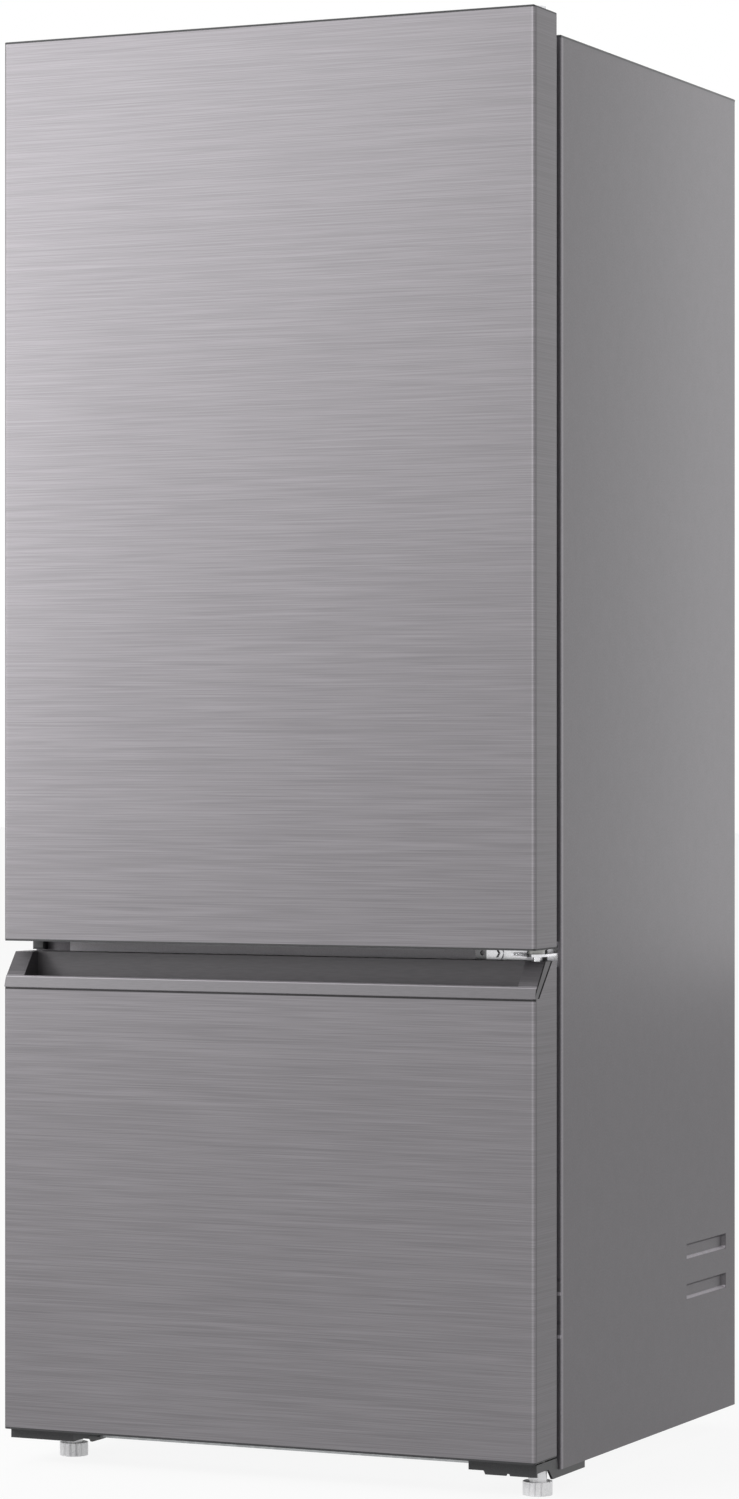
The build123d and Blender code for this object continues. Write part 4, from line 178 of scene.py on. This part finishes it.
def line_at(tree, socket, middle, half):
    """1 within half of the middle, falling to 0 just outside it."""
    away = maths(tree, "ABSOLUTE", maths(tree, "SUBTRACT", socket, middle))
    edge = add(tree, "ShaderNodeMapRange")
    edge.inputs["From Min"].default_value = half * 0.7
    edge.inputs["From Max"].default_value = half * 1.3
    edge.inputs["To Min"].default_value = 1.0
    edge.inputs["To Max"].default_value = 0.0
    tree.links.new(away, edge.inputs["Value"])
    return edge.outputs["Result"]


def behind(tree, y, z, start, end):
    """How far a point lies behind the slanted line from start to end, both as y and z."""
    rise, back = end[1] - start[1], end[0] - start[0]
    length = math.hypot(rise, back)
    level = maths(tree, "MULTIPLY", maths(tree, "SUBTRACT", y, start[0]), rise / length)
    drop = maths(tree, "MULTIPLY", maths(tree, "SUBTRACT", z, start[1]), back / length)
    return maths(tree, "SUBTRACT", level, drop)


def tinted(tree, colour, mask, factor):
    """The colour times a factor where the mask is 1; the factor may pass 1."""
    gain = add(tree, "ShaderNodeMapRange", clamp=False)
    gain.inputs["To Min"].default_value = 1.0
    gain.inputs["To Max"].default_value = factor
    tree.links.new(mask, gain.inputs["Value"])
    scaled = add(tree, "ShaderNodeVectorMath", operation="SCALE")
    tree.links.new(colour, scaled.inputs[0])
    tree.links.new(gain.outputs["Result"], scaled.inputs["Scale"])
    return scaled.outputs["Vector"]


def streaked(tree, colour):
    """Two layers of streaks along X, as a colour, and the fine layer's value."""
    fine = pattern(tree, "ShaderNodeTexNoise", (8, 8, 1300), Scale=1.0, Detail=3.0)
    broad = pattern(tree, "ShaderNodeTexNoise", (2, 2, 160), Scale=1.0, Detail=2.0)
    tint = ramp(tree, fine.outputs[0], shade(colour, 0.86), shade(colour, 1.14), 0.36, 0.64)
    band = ramp(tree, broad.outputs[0], (0.96, 0.96, 0.96), (1.0, 1.0, 1.0), 0.35, 0.65)
    mix = add(tree, "ShaderNodeMix", data_type="RGBA", blend_type="MULTIPLY")
    mix.inputs[0].default_value = 1.0
    tree.links.new(tint, mix.inputs[6])
    tree.links.new(band, mix.inputs[7])
    return mix.outputs[2], fine.outputs[0]


def brushed(name, colour, rough, metallic):
    """Door steel brushed along X, with painted highlights and dark reflections at its folds and
    painted shade on its flanks and in the seam to the handle.
    """
    made, tree, shader = new_material(name)
    x, y, z = axes_of(tree)
    tint, value = streaked(tree, colour)
    # painted dark reflection round the folds, painted highlight on the right fold, painted dark
    # reflection on the left fold
    tint = tinted(tree, tint, line_at(tree, y, *DOOR_FOLD_DARK_REFLECTION), 0.5)
    tint = tinted(tree, tint, line_at(tree, x, *RIGHT_FOLD_HIGHLIGHT), 1.35)
    tint = tinted(tree, tint, line_at(tree, x, *LEFT_FOLD_DARK_REFLECTION), 0.45)
    # painted shade: the same steel darker on the flanks
    tint = tinted(tree, tint, maths(tree, "GREATER_THAN", y, FLANK_FROM), 0.84)
    # painted shade in the seam between the steel's face and the handle's lip
    face = maths(tree, "LESS_THAN", y, FACE_TO)
    tint = tinted(tree, tint, both(tree, line_at(tree, z, *SEAM_SHADE), face), 0.15)
    surface(tree, shader, tint, value, rough, 0.07, metallic, 0.0001, 0.15)
    return made


def handle_finish(name, colour, rough):
    """Satin grey, with a painted highlight on the lip's edge, two painted dark lines of
    reflection and seam shade at each slanted end, and painted shade in the pocket.
    """
    made, tree, shader = new_material(name)
    x, y, z = axes_of(tree)
    grain = pattern(tree, "ShaderNodeTexNoise", (60, 60, 900), Scale=1.0, Detail=2.0).outputs[0]
    tint = ramp(tree, grain, shade(colour, 0.92), shade(colour, 1.08), 0.35, 0.65)
    # painted dark lines on the slanted ends' flanks: a dark reflection along the front edge and
    # shade in the seam behind; their specular reflection is taken away too
    flank = maths(tree, "GREATER_THAN", maths(tree, "ABSOLUTE", x), DOOR_FLANK)
    fore = line_at(tree, behind(tree, y, z, LIP_EDGE, END_TOP), 0.0014, 0.0016)
    rear = line_at(tree, behind(tree, y, z, SPLIT_LOW, SPLIT_TOP), -0.0012, 0.0016)
    dark = both(tree, flank, maths(tree, "MAXIMUM", fore, rear))
    tint = tinted(tree, tint, dark, 0.1)
    tree.links.new(spread(tree, dark, 0.5, 0.0), shader.inputs["Specular IOR Level"])
    # painted highlight along the lip's upper edge
    lip = maths(tree, "LESS_THAN", y, LIP_TO)
    tint = tinted(tree, tint, both(tree, line_at(tree, z, *LIP_SHINE), lip), 2.4)
    # painted shade: the finger pocket darker than the lip
    tint = tinted(tree, tint, maths(tree, "GREATER_THAN", y, POCKET_FROM), 0.8)
    surface(tree, shader, tint, grain, rough, 0.06, 0.25, 0.0001, 0.12)
    return made


def painted_side(name, colour, rough):
    """Grained dark paint, with a painted highlight along the fold and painted light and shade on
    the bevels in the grips.
    """
    made, tree, shader = new_material(name)
    x, y, z = axes_of(tree)
    grain = pattern(
        tree, "ShaderNodeTexNoise", (1, 1, 1), Scale=420.0, Detail=3.0, Roughness=0.7,
    ).outputs[0]
    cloud = pattern(tree, "ShaderNodeTexNoise", (1, 1, 1), Scale=70.0, Detail=2.0).outputs[0]
    tint = ramp(tree, grain, shade(colour, 0.84), shade(colour, 1.16))
    tint = tinted(tree, tint, spread(tree, cloud, -0.5, 0.5), 1.14)
    flank = maths(tree, "ABSOLUTE", x)
    fold = maths(tree, "GREATER_THAN", flank, FOLD_SKIN)
    # painted highlight along the fold at the sides' front edge
    tint = tinted(tree, tint, both(tree, fold, line_at(tree, y, *SIDE_FOLD_HIGHLIGHT)), 1.9)
    pressed = line_at(tree, flank, *GRIP_BEVEL)
    for middle in GRIPS:
        low = line_at(tree, z, middle - BEVEL_RISE, BEVEL_HALF)
        high = line_at(tree, z, middle + BEVEL_RISE, BEVEL_HALF)
        # painted light on each grip's lower bevel and painted shade on its upper bevel
        tint = tinted(tree, tint, both(tree, pressed, low), 3.6)
        tint = tinted(tree, tint, both(tree, pressed, high), 0.7)
    surface(tree, shader, tint, grain, rough, 0.06, 0.4, 0.0002, 0.15)
    return made


def hinge_plate(name, colour, rough):
    """Bright zinc, darker on the screwed-down left end, with a painted shadow in the gap beside
    the pins.
    """
    made = finish(name, colour, rough, 1.0, scale=500, vary=0.07, strength=0.08)
    tree = made.node_tree
    socket = tree.nodes["Principled BSDF"].inputs["Base Color"]
    tint = socket.links[0].from_socket
    x = axes_of(tree)[0]
    tint = tinted(tree, tint, maths(tree, "LESS_THAN", x, HINGE_END), 0.22)
    # painted shadow in the gap beside the pins
    tint = tinted(tree, tint, line_at(tree, x, *HINGE_GAP_SHADOW), 0.06)
    tree.links.new(tint, socket)
    return made


def clear(name, colour, rough, ior=1.5):
    """Glass or clear plastic, with faint unevenness so that it reads as a real sheet."""
    made, tree, shader = new_material(name)
    value = pattern(tree, "ShaderNodeTexNoise", (1, 1, 1), Scale=60.0, Detail=2.0).outputs[0]
    tint = ramp(tree, value, shade(colour, 0.98), colour)
    surface(tree, shader, tint, value, rough, rough * 0.3, 0.0, 0.0002, 0.05)
    shader.inputs["Transmission Weight"].default_value = 1.0
    shader.inputs["IOR"].default_value = ior
    return made


MATERIALS = {
    "brushed_front": brushed("brushed_front", (0.204, 0.195, 0.206), 0.45, 0.75),
    "handle_grey": handle_finish("handle_grey", (0.114, 0.108, 0.116), 0.45),
    "side_paint": painted_side("side_paint", (0.141, 0.133, 0.144), 0.42),
    "dark_top": finish("dark_top", (0.08, 0.08, 0.085), 0.5, 0.0, scale=900, vary=0.12),
    "galvanised": finish(
        "galvanised", (0.46, 0.47, 0.48), 0.42, 0.85, scale=90, vary=0.16,
        kind="ShaderNodeTexVoronoi", rough_vary=0.12, strength=0.05,
    ),
    "foam": finish(
        "foam", (0.80, 0.77, 0.66), 0.9, scale=500, vary=0.12, depth=0.0006, strength=0.5,
    ),
    "liner_white": finish(
        "liner_white", (0.78, 0.79, 0.80), 0.28, scale=150, vary=0.02, strength=0.05,
    ),
    "dark_trim": finish(
        "dark_trim", (0.028, 0.028, 0.03), 0.55, scale=1200, vary=0.2, strength=0.25,
    ),
    "zinc": finish("zinc", (0.78, 0.78, 0.80), 0.22, 1.0, scale=500, vary=0.07, strength=0.08),
    "bracket_dark": finish("bracket_dark", (0.03, 0.03, 0.032), 0.4, 0.1, scale=900, vary=0.25),
    "gasket": finish("gasket", (0.042, 0.040, 0.043), 0.6, scale=700, vary=0.15),
    "glass": clear("glass", (0.93, 0.97, 0.955), 0.02),
    "clear_plastic": clear("clear_plastic", (0.92, 0.95, 0.96), 0.08, ior=1.49),
    "grey_plastic": finish("grey_plastic", (0.5, 0.52, 0.54), 0.4, scale=900, vary=0.06),
    "foot_plastic": finish("foot_plastic", (0.92, 0.92, 0.93), 0.3, 0.45, scale=600, vary=0.05),
    "aluminium": finish(
        "aluminium", (0.72, 0.73, 0.74), 0.35, 1.0, scale=300, vary=0.1, stretch=(1, 1, 8),
    ),
    "compressor_black": finish(
        "compressor_black", (0.012, 0.012, 0.013), 0.22, scale=300, vary=0.3,
    ),
    "copper": finish("copper", (0.72, 0.38, 0.24), 0.3, 1.0, scale=300, vary=0.15),
    "bush": finish("bush", (0.8, 0.8, 0.77), 0.35, scale=500, vary=0.04),
}
# nodes whose finish isn't their slot's
OWN_FINISH = {
    # the rail's paint made lighter: painted light standing in for what reaches it in the narrow
    # slot between the doors
    "cross_rail": finish("rail_paint_with_painted_light", (0.56, 0.54, 0.57), 0.4, 0.2, scale=900, vary=0.08),
    "middle_hinge": hinge_plate("hinge_plate", (0.78, 0.78, 0.80), 0.22),
}
for name, piece in NODES.items():
    piece.data.materials.clear()
    piece.data.materials.append(OWN_FINISH.get(name, MATERIALS[SLOT_OF[name]]))

# ---- camera, solved from the photo's edges
camera = bpy.data.objects.new("camera", bpy.data.cameras.new("camera"))
bpy.context.scene.collection.objects.link(camera)
camera.location = (2.390, -5.269, 0.870)
camera.rotation_euler = (math.radians(90), 0, math.radians(24.54))
camera.data.sensor_width = 36.0
camera.data.lens = 110.77
camera.data.shift_x = 0.0007
bpy.context.scene.camera = camera


# ---- light, floor and backdrop
def area(name, place, aim, size, power):
    """A white area lamp aimed at a point; the camera doesn't see it."""
    data = bpy.data.lights.new(name, "AREA")
    data.shape = "RECTANGLE"
    data.size, data.size_y = size
    data.energy = power
    lamp = bpy.data.objects.new(name, data)
    lamp.location = place
    lamp.visible_camera = False
    lamp.rotation_euler = (Vector(aim) - Vector(place)).to_track_quat("-Z", "Y").to_euler()
    bpy.context.scene.collection.objects.link(lamp)


def seen_by(tree, *kinds):
    """1 for rays of any of these kinds, and 0 for all others."""
    path = add(tree, "ShaderNodeLightPath")
    level = path.outputs[kinds[0]]
    for kind in kinds[1:]:
        level = maths(tree, "MAXIMUM", level, path.outputs[kind])
    return level


area("key", (-1.9, -3.1, 2.65), (-0.1, -0.3, 1.6), (2.2, 1.8), 58)
area("left", (-1.7, -1.4, 1.2), (-0.3, -0.3, 1.2), (0.6, 1.1), 22)
area("side", (0.58, 0.82, 1.3), (0.35, 0.3, 1.25), (0.15, 1.5), 1.35)
area("back", (-1.5, 4.0, 3.0), (0, 0.3, 1.0), (2.4, 2.0), 42)

WORLD_LIGHT = 0.4  # strength of the world as a light
WORLD_SEEN = 1.0  # its strength as a background and in metal and glass
FLOOR_GLOW = 0.9  # share of plain white in the floor as it is seen, the rest takes the shadow
FLOOR_HALF = 40  # metres from the middle to the floor's edge
FLOOR_DROP = 0.0005  # how far below the feet it lies

world = bpy.data.worlds.new("studio")
bpy.context.scene.world = world
world.use_nodes = True
sky = world.node_tree
background = sky.nodes["Background"]
shown = seen_by(sky, "Is Camera Ray", "Is Glossy Ray", "Is Transmission Ray")
sky.links.new(spread(sky, shown, WORLD_LIGHT, WORLD_SEEN), background.inputs["Strength"])
background.inputs["Color"].default_value = (1, 1, 1, 1)

ground = bmesh.new()
bmesh.ops.create_grid(ground, x_segments=1, y_segments=1, size=FLOOR_HALF)
floor_mesh = bpy.data.meshes.new("floor")
ground.to_mesh(floor_mesh)
ground.free()
floor = bpy.data.objects.new("floor", floor_mesh)
floor.location = (0, 0, -FLOOR_DROP)
bpy.context.scene.collection.objects.link(floor)

pale, floor_tree, floor_shader = new_material("pale_floor")
floor_shader.inputs["Base Color"].default_value = (0.85, 0.85, 0.85, 1)
floor_shader.inputs["Roughness"].default_value = 0.9
glow = add(floor_tree, "ShaderNodeEmission")
blend = add(floor_tree, "ShaderNodeMixShader")
seen = seen_by(floor_tree, "Is Camera Ray", "Is Glossy Ray")
floor_tree.links.new(maths(floor_tree, "MULTIPLY", seen, FLOOR_GLOW), blend.inputs["Fac"])
floor_tree.links.new(floor_shader.outputs["BSDF"], blend.inputs[1])
floor_tree.links.new(glow.outputs["Emission"], blend.inputs[2])
output = floor_tree.nodes["Material Output"]
floor_tree.links.new(blend.outputs["Shader"], output.inputs["Surface"])
floor.data.materials.append(pale)

bpy.context.scene.view_settings.view_transform = "Standard"
